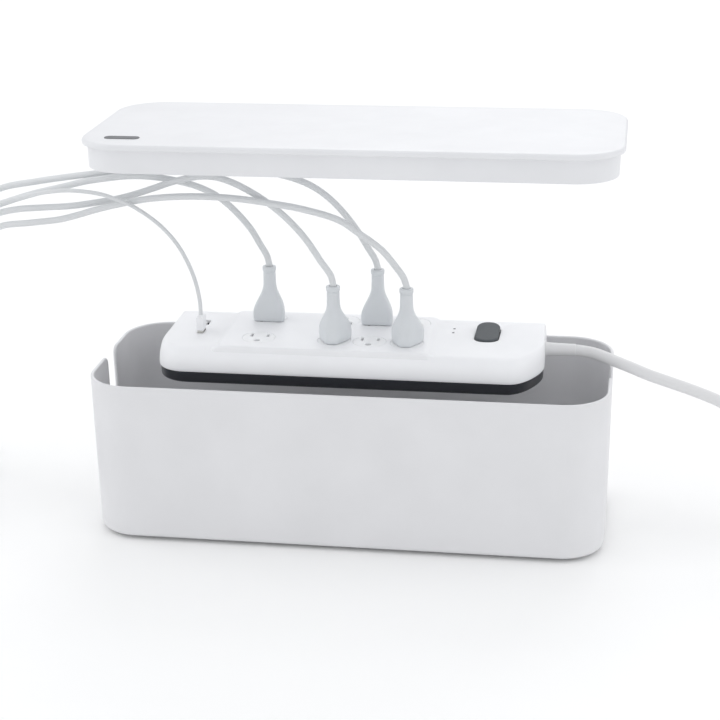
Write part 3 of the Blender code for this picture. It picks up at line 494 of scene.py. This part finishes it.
def plug_rings():
    """Rings of the bottle-shaped plug, from its face at zero up to where the cord goes in."""
    rings = [(0.0, 0.0116, 0.0), (0.0003, 0.0121, 0.0), (0.001, 0.0124, 0.0),
             (0.003, 0.0126, 0.0), (0.0055, 0.0127, 0.0), (0.0078, 0.0126, 0.02)]
    for i in range(1, 15):
        t = i / 14
        swell = 1 - ease(0.04 + 0.96 * t ** 0.9)
        rings.append((0.0078 + 0.0245 * t, 0.0051 + 0.0075 * swell, min(1.0, 0.02 + t ** 1.2)))
    neck = ((0.034, 0.005), (0.0385, 0.00495), (0.0394, 0.00495), (0.0396, 0.0047), (0.04, 0.0047),
            (0.0402, 0.00505), (0.0408, 0.0054), (0.0432, 0.0055), (0.044, 0.0052),
            (PLUG_HEIGHT, 0.0047), (PLUG_HEIGHT, 0.0032), (PLUG_HEIGHT - 0.0015, 0.0029))
    return rings + [(z, r, 1.0) for z, r in neck]


def wall_plug(name, surface, body, place, stretch=1.0):
    """A plug, and a matrix that puts its face on the outlet and its ridge on the earth side."""
    rings = []
    for z, r, roundness in plug_rings():
        ridge = 1.0 - roundness
        section = plug_section(r, roundness, ridge)
        rings.append([place @ Vector((x, y, z * stretch)) for x, y in section])
    made = lofted(name, [rings], surface, body, sharp=50)
    pins = []
    for side in (-1, 1):
        blade = []
        for z, trim in ((0.002, 0.0), (-0.0125, 0.0), (-0.0145, 0.0004), (-0.0158, 0.0012)):
            blade.append([place @ Vector((x, y, z)) for x, y in
                          block(side * BLADE_ASIDE, BLADE_OUT, 0.00075 - trim * 0.3, 0.0032 - trim,
                                0.0002, 2)])
        pins.append(blade)
    earth = [[place @ Vector((x, y, z)) for x, y in circle(0.0, -EARTH_OUT, r, 24)]
             for z, r in ((0.002, 0.0023), (-0.014, 0.0023), (-0.0155, 0.0019), (-0.0163, 0.001))]
    metal = lofted(name + "_pins", pins + [earth], NICKEL, body)
    return made, metal


def far_connector(name, start, direction, width, height, sleeve, surface, slot):
    """A moulded lead end lying on the floor: a ribbed sleeve, a soft body and a metal tip."""
    x, y = start

    def ring(step, half_w, low, high, r):
        mid, half_h = (low + high) / 2, (high - low) / 2
        r = min(r, half_w, half_h) * 0.98
        return [(x + direction * step, y + u, mid + v)
                for u, v in outline(-half_w, half_w, -half_h, half_h, r, r, 6)]

    r, w, centre = sleeve / 2, width / 2, GAP + sleeve / 2
    rings = []
    for i in range(9):
        swell = r * (0.86 + 0.14 * i / 8) * (1.0 if i % 2 == 0 else 0.86)
        rings += [ring(0.0008 + i * 0.0009, swell, centre - swell, centre + swell, r),
                  ring(0.0013 + i * 0.0009, swell, centre - swell, centre + swell, r)]
    rings += [ring(step, w * wide, GAP + lift, height * high, corner)
              for step, wide, lift, high, corner in (
                  (0.0094, 0.8, 0.0004, 0.84, 0.003), (0.01, 0.93, 0.0001, 0.94, 0.003),
                  (0.0112, 1.0, 0.0, 1.0, 0.003), (0.02, 1.0, 0.0, 1.0, 0.003),
                  (0.0209, 0.97, 0.0001, 0.985, 0.0028), (0.0213, 0.9, 0.0005, 0.94, 0.0026))]
    made = lofted(name, [rings], surface, "tub")
    mid, half_h, half_w = (GAP + height) / 2, 0.0013, 0.0042
    trims = ((0.0205, 0.0), (0.0272, 0.0), (0.0278, 0.0001), (CONNECTOR_LENGTH, 0.0003))
    tip = [ring(step, half_w - trim, mid - half_h + trim, mid + half_h - trim, 0.0012)
           for step, trim in trims]
    inner = [ring(step, half_w - 0.0004, mid - half_h + 0.0004, mid + half_h - 0.0004, 0.0009)
             for step in (CONNECTOR_LENGTH, 0.0222)]
    metal = lofted(name + "_tip", [tip + inner], NICKEL, "tub")
    return made, metal


def reach(radius, across, diameter):
    outer, inner = radius + across * diameter / 2, radius - diameter / 2
    return math.sqrt(outer ** 2 - inner ** 2) + GAP


def coiled_lead(name, start, route, spacing, diameter, centre, radius, moves, total, side, far_point,
                surface):
    """The whole cord as one tube, and its centreline."""
    angle, turn = math.radians(90 * side), side
    turns = winding(centre, radius, diameter, angle, turn, moves, total)
    line = lead_line(Vector(start), route, spacing, turns, Vector(far_point))
    return tube(name, line, diameter, surface), line


def build_device_leads():
    offset = reach(DEVICE_COIL_RADIUS, 2, DEVICE_CORD)
    for i, device in enumerate(DEVICES):
        column, row = device["outlet"]
        x, y = OUTLET_COLUMNS[column], row
        face = 1 if row == FRONT_ROW else -1
        number = i + 1
        place = Matrix.Translation((x, y, PANEL_TOP + GAP)) @ Matrix.Diagonal((1, face, 1, 1))
        plug, pins = wall_plug(f"device_plug_{number}", PLUG_GREY, "strip", place)
        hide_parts(f"plug_{number}")
        cx, cy = device["coil"]
        side, end = device["side"], device["end"]
        leave = cy - end * side * DEVICE_COIL_RADIUS
        tail, tip = far_connector(f"lead_connector_{number}", (cx + end * offset, leave), end,
                                  *DEVICE_CONNECTOR, DEVICE_CORD + SLEEVE_EXTRA, PLUG_GREY, "cord_grey")
        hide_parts(f"device_connector_{number}")
        moves, total = (MOVES_3_HALF, FOUR_TURNS_AND_A_HALF) if end == 1 else (MOVES_3, FIVE_TURNS)
        far = (cx + end * (offset + 0.004), leave, GAP + (DEVICE_CORD + SLEEVE_EXTRA) / 2)
        cord, line = coiled_lead(f"device_lead_{number}", (x, y, 0.18), device["route"], 0.003,
                                 DEVICE_CORD, (cx, cy), DEVICE_COIL_RADIUS, moves, total, side, far,
                                 CORD_GREY)
        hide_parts(f"device_cord_{number}", f"device_coil_{number}")
        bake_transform(cord)
        tie_angle = math.radians(180) if end == 1 else math.radians(-90 * side)
        tie = coil_tie(f"device_tie_{number}", (cx, cy), DEVICE_COIL_RADIUS, DEVICE_CORD, 2, 3,
                       tie_angle)


def build_usb_lead():
    x, y = USB_PORTS[0]
    low = DECK_TOP + GAP
    # Height, half width, half depth and corner radius of the plug's rings.
    shape = ((0.0016, 0.0025, 0.0052, 0.0006), (0.0018, 0.0028, 0.0055, 0.0008),
             (0.0022, 0.0029, 0.0056, 0.0008), (0.0118, 0.0029, 0.0056, 0.0008),
             (0.0124, 0.0028, 0.0055, 0.001), (0.0127, 0.0024, 0.005, 0.001),
             (0.0128, 0.0021, 0.005, 0.001), (0.0129, 0.002, 0.0021, 0.0015),
             (0.0134, 0.002, 0.002, 0.0015), (0.0136, 0.0018, 0.0018, 0.0014),
             (0.0136, 0.0014, 0.0014, 0.001))
    rings = [level(block(x, y, hx, hy, r, 6), low + z) for z, hx, hy, r in shape]
    plug = lofted("usb_lead_plug", [rings], STRIP_WHITE, "strip", sharp=45)
    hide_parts("usb_plug")
    shell = [level(block(x, y, 0.0022, 0.0053, 0.0003), z) for z in (0.1394, low + 0.003)]
    metal = lofted("usb_lead_plug_metal", [shell], NICKEL, "strip")
    cx, cy = USB_COIL_CENTRE
    offset = reach(USB_COIL_RADIUS, 2, USB_CORD)
    tail, tip = far_connector("usb_lead_connector", (cx - offset, cy + USB_COIL_RADIUS), -1,
                              *USB_CONNECTOR, USB_CORD + SLEEVE_EXTRA, PLUG_GREY, "cord_grey")
    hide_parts("usb_device_connector")
    far = (cx - offset - 0.004, cy + USB_COIL_RADIUS, GAP + (USB_CORD + SLEEVE_EXTRA) / 2)
    cord, line = coiled_lead("usb_lead", (x, y, 0.152), USB_ROUTE, 0.0025, USB_CORD, (cx, cy),
                             USB_COIL_RADIUS, MOVES_3, FIVE_TURNS, 1, far, CORD_GREY)
    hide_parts("usb_cord", "usb_coil")
    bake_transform(cord)
    tie = coil_tie("usb_tie", (cx, cy), USB_COIL_RADIUS, USB_CORD, 2, 3, math.radians(-90), 0.007)


def build_mains_lead():
    cx, cy = LEAD_COIL_CENTRE
    offset = reach(LEAD_COIL_RADIUS, 2, LEAD_CORD)
    plug_x, row, mid = cx - offset - WALL_PLUG_LENGTH, cy + LEAD_COIL_RADIUS, 0.0125
    turn = Matrix(((0, 0, 1, 0), (1, 0, 0, 0), (0, 1, 0, 0), (0, 0, 0, 1)))
    place = Matrix.Translation((plug_x, row, mid)) @ turn
    plug, pins = wall_plug("mains_wall_plug", LEAD_WHITE, "tub", place,
                           stretch=WALL_PLUG_LENGTH / PLUG_HEIGHT)
    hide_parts("mains_plug")
    # The lead comes in on the coil's near side and leaves on its far side.
    turns = winding((cx, cy), LEAD_COIL_RADIUS, LEAD_CORD, math.radians(-90), 1, MOVES_LEAD,
                    FOUR_TURNS_AND_A_HALF, steps=56)
    start = Vector((RELIEF_END - 0.015, LEAD_EXIT[1], LEAD_EXIT[2]))
    line = lead_line(start, LEAD_ROUTE, 0.005, turns, Vector((cx - offset - 0.004, row, mid)))
    cord = tube("mains_lead_cord", line, LEAD_CORD, LEAD_WHITE, sides=20)
    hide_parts("mains_lead", "mains_coil")
    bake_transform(cord)
    tie = coil_tie("mains_tie", (cx, cy), LEAD_COIL_RADIUS, LEAD_CORD, 2, 3, 0.0, 0.014)
    x, y, z = LEAD_EXIT
    # Along the relief, its radius: a collar inside the case, a groove for the wall, then the taper.
    profile = [(x - back, r) for back, r in (
        (0.0075, 0.0061), (0.0063, 0.0061), (0.0061, 0.0055), (0.0022, 0.0055), (0.002, 0.0057),
        (0.0018, 0.006), (0.0008, 0.006), (0.0004, 0.0056))]
    for i in range(9):
        t = i / 8
        profile.append((x + 0.001 + (RELIEF_END - 0.0018 - x) * t, 0.0053 - 0.0004 * ease(t)))
    profile += [(RELIEF_END - 0.0003, 0.0049), (RELIEF_END, 0.0046)]
    rings = [[(px, u, v) for u, v in circle(y, z, r, 40)] for px, r in profile]
    relief = lofted("lead_strain_relief", [rings], LEAD_WHITE, "strip")
    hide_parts("strain_relief")


build_device_leads()
build_usb_lead()
build_mains_lead()

# --- The box ---------------------------------


def tub_inset(z):
    base = FOOT_HEIGHT + GAP
    return TUB_TAPER * (TUB_TOP - z) / (TUB_TOP - base)


def box_plan(inset, steps=16):
    half_x, half_y, r = BOX_LENGTH / 2 - inset, BOX_DEPTH / 2 - inset, CORNER_RADIUS - inset
    return outline(-half_x, half_x, -half_y, half_y, r, r, steps)


def build_tub():
    """The wall is a sheet whose rounded lip runs along the rim and down round both end slots."""
    bm = bmesh.new()
    base, half, edge, steps = FOOT_HEIGHT + GAP, TUB_WALL / 2, 0.0045, 16
    rim_z = TUB_TOP - half
    plan = box_plan(0.0, steps)
    per = steps + 1
    # Stations of the lip, counter-clockwise from the +X end: place on the wall's outer face, and its
    # direction out of the wall's edge. Corner points stand at the rim; between two corners of an end,
    # the slot's edge follows.
    w, r = SLOT_HALF_WIDTH + half, SLOT_LIP - half
    low_z = SLOT_BOTTOM + SLOT_HALF_WIDTH

    def slot_side():
        """One end's edge, as (along, z, out along, out z), from the rim through the slot to the rim."""
        edge_line = [(w + r - r * math.cos(a), rim_z - r + r * math.sin(a), -math.cos(a), math.sin(a))
                     for a in arc(8, 90, 0)]
        down = [(w, rim_z - r + (low_z - rim_z + r) * k / 6, -1.0, 0.0) for k in range(1, 6)]
        bottom = [(w * math.cos(a), low_z + w * math.sin(a), -math.cos(a), -math.sin(a))
                  for a in arc(16, 0, -180)]
        left = [(-u, z, -ou, oz) for u, z, ou, oz in reversed(edge_line + down)]
        return edge_line + down + bottom + left

    def station(x, y, z, nx, ny, out):
        """Ring of the lip at a station: from the outer face over the edge to the inner face."""
        inset = tub_inset(z)
        x, y = x - nx * (inset + half), y - ny * (inset + half)
        ring = []
        for a in arc(8, 90, -90):
            s, c = math.sin(a), math.cos(a)
            ring.append(bm.verts.new((x + nx * half * s + out[0] * half * c,
                                      y + ny * half * s + out[1] * half * c, z + out[2] * half * c)))
        return ring

    lip, corner_rings = [], []
    for k in range(4):
        for i in range(per):
            x, y = plan[k * per + i]
            a = math.radians(90 * k + 90 * i / steps)
            lip.append(station(x, y, rim_z, math.cos(a), math.sin(a), (0, 0, 1)))
            corner_rings.append(len(lip) - 1)
        # Between corners k and k + 1 lies an end wall: -X after k = 1, +X after k = 3.
        if k in (1, 3):
            sign = -1 if k == 1 else 1
            for u, z, ou, oz in slot_side():
                # Walking counter-clockwise, Y falls along the -X end and rises along the +X end.
                y, oy = (u, ou) if sign < 0 else (-u, -ou)
                lip.append(station(sign * BOX_LENGTH / 2, y, z, sign, 0.0, (0.0, oy, oz)))
    count = len(lip)
    for i in range(count):
        a, b = lip[i], lip[(i + 1) % count]
        for j in range(len(a) - 1):
            bm.faces.new((a[j], a[j + 1], b[j + 1], b[j]))

    def ring_at(inset, z):
        return [bm.verts.new(p) for p in level(box_plan(inset, steps), z)]

    # Outer skin: from the lip down and in under the floor. Inner skin: from the lip down to the floor.
    low_ring, floor = 0.017, base + TUB_FLOOR
    mid_out = ring_at(tub_inset(low_ring), low_ring)
    outer = [mid_out] + [ring_at(tub_inset(base) + edge * (1 - math.sin(a)),
                                 base + edge * (1 - math.cos(a))) for a in arc(8, 90, 0)]
    mid_in = ring_at(tub_inset(low_ring) + TUB_WALL, low_ring)
    inner = [mid_in] + [ring_at(tub_inset(floor) + TUB_WALL + edge * (1 - math.sin(a)),
                                floor + edge * (1 - math.cos(a))) for a in arc(8, 90, 0)]
    for rows in (outer, inner):
        for a, b in zip(rows, rows[1:]):
            for i in range(len(a)):
                bm.faces.new((a[i], a[(i + 1) % len(a)], b[(i + 1) % len(a)], b[i]))
        bm.faces.new(rows[-1])
    total = 4 * per
    for rows, j in ((mid_out, 0), (mid_in, -1)):
        for i in range(total):
            a, b = corner_rings[i], corner_rings[(i + 1) % total]
            chain = [lip[m % count][j] for m in range(a, b + 1 if b > a else b + count + 1)]
            bm.faces.new([*chain, rows[(i + 1) % total], rows[i]])
    tub = piece("cable_tub", bm, BOX_WHITE, "tub", sharp=38)
    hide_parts("tub")


def build_feet():
    shape = ((0.0, 0.0055), (0.0001, 0.0074), (0.0004, 0.0084), (0.0009, 0.0089), (0.0014, 0.009),
             (FOOT_HEIGHT + GAP, 0.009))
    for i, (x, y) in enumerate(((-0.165, -0.05), (0.165, -0.05), (0.165, 0.05), (-0.165, 0.05))):
        foot = lofted(f"rubber_foot_{i + 1}", [[level(circle(x, y, r), z) for z, r in shape]],
                      FOOT_RUBBER, "tub")
        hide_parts(f"foot_{i + 1}")


def build_lid():
    low, top = LID_TOP - LID_PLATE, LID_TOP
    skirt, inner = low - SKIRT_HEIGHT, SKIRT_INSET + SKIRT_WALL
    soft, under = 0.0024, 0.0009
    path = [(inner + 0.003, low + 0.0001), (inner + 0.0012, low - 0.0002),
            (inner + 0.0003, low - 0.0014), (inner + 0.0002, low - 0.004),
            (inner - 0.0003, skirt + 0.0009)]
    mid, half = (SKIRT_INSET + 0.0006 + inner - 0.0003) / 2, (inner - SKIRT_INSET - 0.0009) / 2
    path += [(mid + half * math.cos(a), skirt + half - half * math.sin(a)) for a in arc(8, 0, 180)]
    path += [(SKIRT_INSET + 0.0003, low - 0.0016), (SKIRT_INSET, low - 0.0004),
             (SKIRT_INSET - 0.0006, low)]
    path += [(under * (1 - math.sin(a)), low + under * (1 - math.cos(a))) for a in arc(5, 0, 90)]
    path += [(soft * (1 - math.cos(a)), top - soft * (1 - math.sin(a))) for a in arc(9, 0, 84)]
    path += [(soft + 0.004, top)]
    shift_x, shift_y = LID_SHIFT
    rings = [[(x + shift_x, y + shift_y, z) for x, y in box_plan(inset, 20)] for inset, z in path]
    lid = lofted("cable_lid", [rings], LID_WHITE, "lid", sharp=40)
    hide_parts("lid")
    mark = []
    for inset, z in ((0.0, LID_TOP - 0.0002), (0.0, LID_TOP + 0.0002), (0.0002, LID_TOP + 0.0004)):
        mark.append(level(block(-0.1655, -0.05, 0.0135 - inset, 0.0045 - inset, 0.0042 - inset, 10), z))
    badge = lofted("lid_mark", [mark], MARK_GREY, "lid")
    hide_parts("lid_badge")


# --- The power strip -------------------------


def strip_plan(front, side, back, steps=12):
    """Plan of the strip: its right front corner is drawn out along the end, its back ones are tight."""
    left, right = STRIP_HALF - side + 0.0014, STRIP_HALF - side - 0.0022
    r = STRIP_FRONT_RADIUS
    points = outline(-left, right, STRIP_FRONT + front, STRIP_BACK - back, r, STRIP_BACK_RADIUS, steps)
    drawn = []
    for x, y in points:
        low = STRIP_FRONT + front + r
        if x > right - r and y < low:
            u = (x - right + r) / r
            x, y = x + 0.0016 * u ** 3, low + 0.016 * u ** 2.2 - (low - y)
        drawn.append((x, y))
    return drawn


def countersink(straight, wide, top, bevel):
    """A hole down through a top face, a little wider where it comes out."""
    return [level(straight, HOLE_LOW), level(straight, top - bevel), level(wide, top + bevel)]


def build_strip_shell():
    split = STRIP_SPLIT + GAP
    rings = [level(strip_plan(inset, inset, inset), z)
             for inset, z in ((0.001, split), (0.0003, split + 0.0002))]
    for a in arc(16, 3, 90):
        drop = 1 - math.cos(a)
        rings.append(level(strip_plan(0.014 * drop, 0.0016 * drop, 0.0016 * drop),
                           split + (DECK_TOP - split) * math.sin(a)))
    rings.append(level(strip_plan(0.017, 0.003, 0.003), DECK_TOP))
    shell = lofted("strip_shell", [rings], STRIP_WHITE, "strip")
    r = 0.004
    panel = [level(outline(-0.109, 0.0675, -0.0422, 0.0473, r, r, 8), DECK_TOP - 0.004),
             level(outline(-0.107, 0.0655, -0.0416, 0.0473, r, r, 8), DECK_TOP),
             level(outline(-0.1034, 0.0619, -0.0411, 0.0472, r, r, 8), PANEL_TOP - 0.0009),
             level(outline(-0.1026, 0.0611, -0.0408, 0.047, r, r, 8), PANEL_TOP - 0.0004),
             level(outline(-0.1016, 0.0601, -0.0403, 0.0465, r, r, 8), PANEL_TOP - 0.0001),
             level(outline(-0.1004, 0.0589, -0.0396, 0.0458, r, r, 8), PANEL_TOP)]
    cut(shell, [panel], "UNION")
    wall = STRIP_WALL
    inside = [level(strip_plan(wall, wall, wall, 8), z) for z in (split - 0.01, split + 0.003)]
    for a in arc(5, 24, 78):
        drop = 1 - math.cos(a)
        plan = strip_plan(wall + 0.0145 * drop, wall + 0.0015 * drop, wall + 0.001 * drop, 8)
        inside.append(level(plan, split + (DECK_TOP - split - wall) * math.sin(a)))
    cut(shell, [inside])
    holes = []
    for row in (FRONT_ROW, BACK_ROW):
        for x in OUTLET_COLUMNS:
            r = OUTLET_RADIUS + 0.0001
            holes.append(countersink(circle(x, row, r, 64), circle(x, row, r + 0.0002, 64),
                                     PANEL_TOP, 0.0001))
    x, y, _ = ROCKER_CENTRE
    w, d = ROCKER_SIZE[0] / 2 + 0.0005, ROCKER_SIZE[1] / 2 + 0.0012
    holes.append(countersink(block(x, y, w, d, 0.0086, 10),
                             block(x, y, w + 0.0006, d + 0.0006, 0.009, 10), DECK_TOP, 0.0003))
    for x, y in USB_PORTS:
        holes.append(countersink(block(x, y, 0.0025, 0.0058), block(x, y, 0.0027, 0.006, 0.0006),
                                 DECK_TOP, 0.0001))
    for x, y in LAMP_PLACES:
        holes.append([level(circle(x, y, 0.0013, 24), z) for z in (HOLE_LOW, HOLE_HIGH)])
    _, y, z = LEAD_EXIT
    holes.append([[(px, u, v) for u, v in circle(y, z, 0.0058, 40)] for px in (0.14, 0.17)])
    cut(shell, holes)
    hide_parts("strip_top_shell")


def build_strip_base():
    low, wall = STRIP_BOTTOM, STRIP_WALL
    rings = [level(strip_plan(0.0044, 0.0034, 0.0034), low)]
    for a in arc(8, 10, 90):
        side = 0.001 + 0.0024 * (1 - math.sin(a))
        rings.append(level(strip_plan(0.0012 + 0.0032 * (1 - math.sin(a)), side, side),
                           low + 0.0024 * (1 - math.cos(a))))
    rings += [level(strip_plan(0.0008, 0.0008, 0.0008), STRIP_SPLIT - 0.0004),
              level(strip_plan(0.0011, 0.0011, 0.0011), STRIP_SPLIT),
              level(strip_plan(wall + 0.0004, wall + 0.0006, wall + 0.0006), STRIP_SPLIT),
              level(strip_plan(wall + 0.0044, wall + 0.003, wall + 0.003), low + wall)]
    base = lofted("strip_underside", [rings], STRIP_DARK, "strip")
    screws = [(x, y) for x in (-0.135, 0.135) for y in (-0.028, 0.038)]
    hole = ((low - 0.001, 0.0027), (low + 0.0005, 0.0021), (low + 0.004, 0.0021))
    cut(base, [[level(circle(x, y, r, 32), z) for z, r in hole] for x, y in screws])
    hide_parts("strip_base")
    shape = ((low + 0.0003, 0.0012), (low + 0.0001, 0.0017), (low + 0.0004, 0.0019),
             (low + 0.0024, 0.0019), (low + 0.003, 0.0012), (STRIP_SPLIT + 0.006, 0.0012))
    for i, (x, y) in enumerate(screws):
        screw = lofted(f"base_screw_{i + 1}", [[level(circle(x, y, r, 24), z) for z, r in shape]],
                       STEEL, "strip")
        for a, b in ((0.0011, 0.00025), (0.00025, 0.0011)):
            cut(screw, [[level(block(x, y, a, b, 0.0001, 1), z) for z in (low - 0.001, low + 0.0012)]])
        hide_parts(f"strip_screw_{i + 1}")


def build_outlets():
    number, below = 0, 0.13
    r, top = OUTLET_RADIUS, PANEL_TOP
    shape = ((OUTLET_BOTTOM, r), (top - 0.0004, r), (top - 0.0002, r - 0.0001),
             (top - 0.00005, r - 0.0003), (top, r - 0.0006))
    for row in (FRONT_ROW, BACK_ROW):
        face = 1 if row == FRONT_ROW else -1
        for x in OUTLET_COLUMNS:
            number += 1
            rings = [level(circle(x, row, radius, 64), z) for z, radius in shape]
            insert = lofted(f"outlet_face_{number}", [rings], OUTLET_WHITE, "strip")
            cuts = []
            for side, long in ((-1, 0.0039), (1, 0.0032)):
                px, py = x + side * BLADE_ASIDE, row + face * BLADE_OUT
                slit = block(px, py, 0.001, long * 0.95, 0.0002, 2)
                cuts.append([level(slit, below), level(slit, top - 0.0004),
                             level(block(px, py, 0.0015, long + 0.0004, 0.0004, 2), top + 0.0002)])
            ey = row - face * EARTH_OUT
            earth = circle(x, ey, 0.0025, 32)
            cuts.append([level(earth, below), level(earth, top - 0.0004),
                         level(circle(x, ey, 0.0031, 32), top + 0.0002)])
            cut(insert, cuts)
            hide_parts(f"outlet_{number}")


def build_usb_block():
    top = DECK_TOP - STRIP_WALL - GAP
    body = lofted("usb_socket", [[level(outline(-0.1315, -0.1178, -0.009, 0.03, 0.001, 0.001, 3), z)
                                  for z in (0.1375, top)]], PORT_BLACK, "strip")
    cut(body, [[level(block(x, y, 0.0024, 0.0064), z) for z in (0.1385, 0.16)] for x, y in USB_PORTS])
    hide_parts("usb_socket_block")
    x, y = USB_PORTS[1]
    tongue = block(x - 0.0011, y, 0.0007, 0.0046, 0.0003, 2)
    lofted("usb_tongue", [[level(tongue, z) for z in (0.1384, 0.149, 0.1494)]], OUTLET_WHITE,
           "strip")


def build_rocker():
    """The rocker's top is hollowed a little from end to end, and its edge is soft."""
    w, d = ROCKER_SIZE[0] / 2, ROCKER_SIZE[1] / 2
    tilt = Matrix.Translation(ROCKER_CENTRE) @ Matrix.Rotation(math.radians(6), 4, "X")
    # Height, inset of the sides, inset of the ends and corner radius of the rocker's rings.
    shape = ((-0.0035, 0.0014, 0.002, 0.0068), (0.0, 0.0004, 0.0008, 0.008),
             (0.003, 0.0, 0.0002, 0.0084), (0.0048, 0.0, 0.0, 0.0084), (0.0054, 0.0002, 0.0002, 0.0082),
             (0.0058, 0.0006, 0.0006, 0.0078), (0.006, 0.0012, 0.0012, 0.0072),
             (0.00605, 0.002, 0.0022, 0.0064))
    rings = []
    for z, in_x, in_y, r in shape:
        ring, dip = block(0.0, 0.0, w - in_x, d - in_y, r, 10), 0.0006 * (z > 0.004)
        rings.append([tilt @ Vector((x, y, z - dip * (1 - (y / d) ** 2))) for x, y in ring])
    rocker = lofted("power_rocker", [rings], SWITCH_GREY, "rocker")
    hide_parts("rocker_switch")
    x, y, _ = ROCKER_CENTRE
    outer = block(x, y, w + 0.0016, d + 0.0022, 0.0096, 10)
    inner = block(x, y, w + 0.0004, d + 0.001, 0.0086, 10)
    hollow = block(x, y, w + 0.0004 - 0.002, d + 0.001 - 0.002, 0.004, 10)
    low, high, floor = DECK_TOP - 0.0125, DECK_TOP - 0.0022, 0.001
    rings = [level(hollow, low), level(outer, low), level(outer, high), level(inner, high),
             level(inner, low + floor), level(hollow, low + floor)]
    lofted("switch_well", [rings], STRIP_DARK, "strip")


def build_lamps():
    shape = ((DECK_TOP - 0.004, 0.001), (DECK_TOP, 0.001), (DECK_TOP + 0.0002, 0.0008),
             (DECK_TOP + 0.0003, 0.0004))
    for i, (x, y) in enumerate(LAMP_PLACES):
        lamp = lofted(f"lamp_{i + 1}", [[level(circle(x, y, r, 24), z) for z, r in shape]], LAMP_LENS,
                      "strip", sharp=60)
        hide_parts(f"indicator_lamp_{i + 1}")


def finish_cad_nodes():
    """The parts inside the strip keep their CAD shape and get their own finish."""
    for name, surface in (("bus_bar_line", COPPER), ("bus_bar_neutral", COPPER),
                          ("bus_bar_earth", COPPER), ("surge_board", BOARD_GREEN),
                          ("usb_power_board", BOARD_GREEN)):
        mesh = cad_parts[name].data
        mesh.materials.clear()
        mesh.materials.append(surface)


build_tub()
build_feet()
build_lid()
build_strip_shell()
build_strip_base()
build_outlets()
build_usb_block()
build_rocker()
build_lamps()
finish_cad_nodes()

# --- Floor and light -------------------------

FLOOR_WHITE = plastic("floor_white", (0.985, 0.985, 0.98), 0.85, mottle=0.002, grain=0.00001,
                      grain_size=0.01)
WORLD_LIGHT, FLOOR_HALF_SIZE = 0.75, 8.0
# Softbox stand-ins: name, azimuth it shines from (0 is the front), elevation, angular size, strength.
SUNS = (("overhead_light", 20.0, 78.0, 90.0, 0.4), ("back_light", 178.0, 34.0, 40.0, 0.46),
        ("left_light", -95.0, 28.0, 60.0, 0.5), ("right_light", 95.0, 28.0, 60.0, 0.34))


def build_stage():
    bm = bmesh.new()
    bmesh.ops.create_grid(bm, x_segments=4, y_segments=4, size=FLOOR_HALF_SIZE)
    mesh = bpy.data.meshes.new("floor")
    bm.to_mesh(mesh)
    bm.free()
    mesh.materials.append(FLOOR_WHITE)
    floor = bpy.data.objects.new("floor", mesh)
    bpy.context.scene.collection.objects.link(floor)
    world = bpy.data.worlds.new("studio")
    world.use_nodes = True
    world.node_tree.nodes["Background"].inputs["Color"].default_value = (0.97, 0.98, 1.0, 1.0)
    world.node_tree.nodes["Background"].inputs["Strength"].default_value = WORLD_LIGHT
    bpy.context.scene.world = world
    for name, azimuth, elevation, angle, strength in SUNS:
        data = bpy.data.lights.new(name, "SUN")
        data.energy, data.angle = strength, math.radians(angle)
        lamp = bpy.data.objects.new(name, data)
        around, above = math.radians(azimuth), math.radians(elevation)
        toward = Vector((math.sin(around) * math.cos(above), -math.cos(around) * math.cos(above),
                         math.sin(above)))
        lamp.rotation_mode = "QUATERNION"
        lamp.rotation_quaternion = toward.to_track_quat("Z", "Y")
        bpy.context.scene.collection.objects.link(lamp)
    bpy.context.scene.view_settings.view_transform = "Standard"


build_stage()
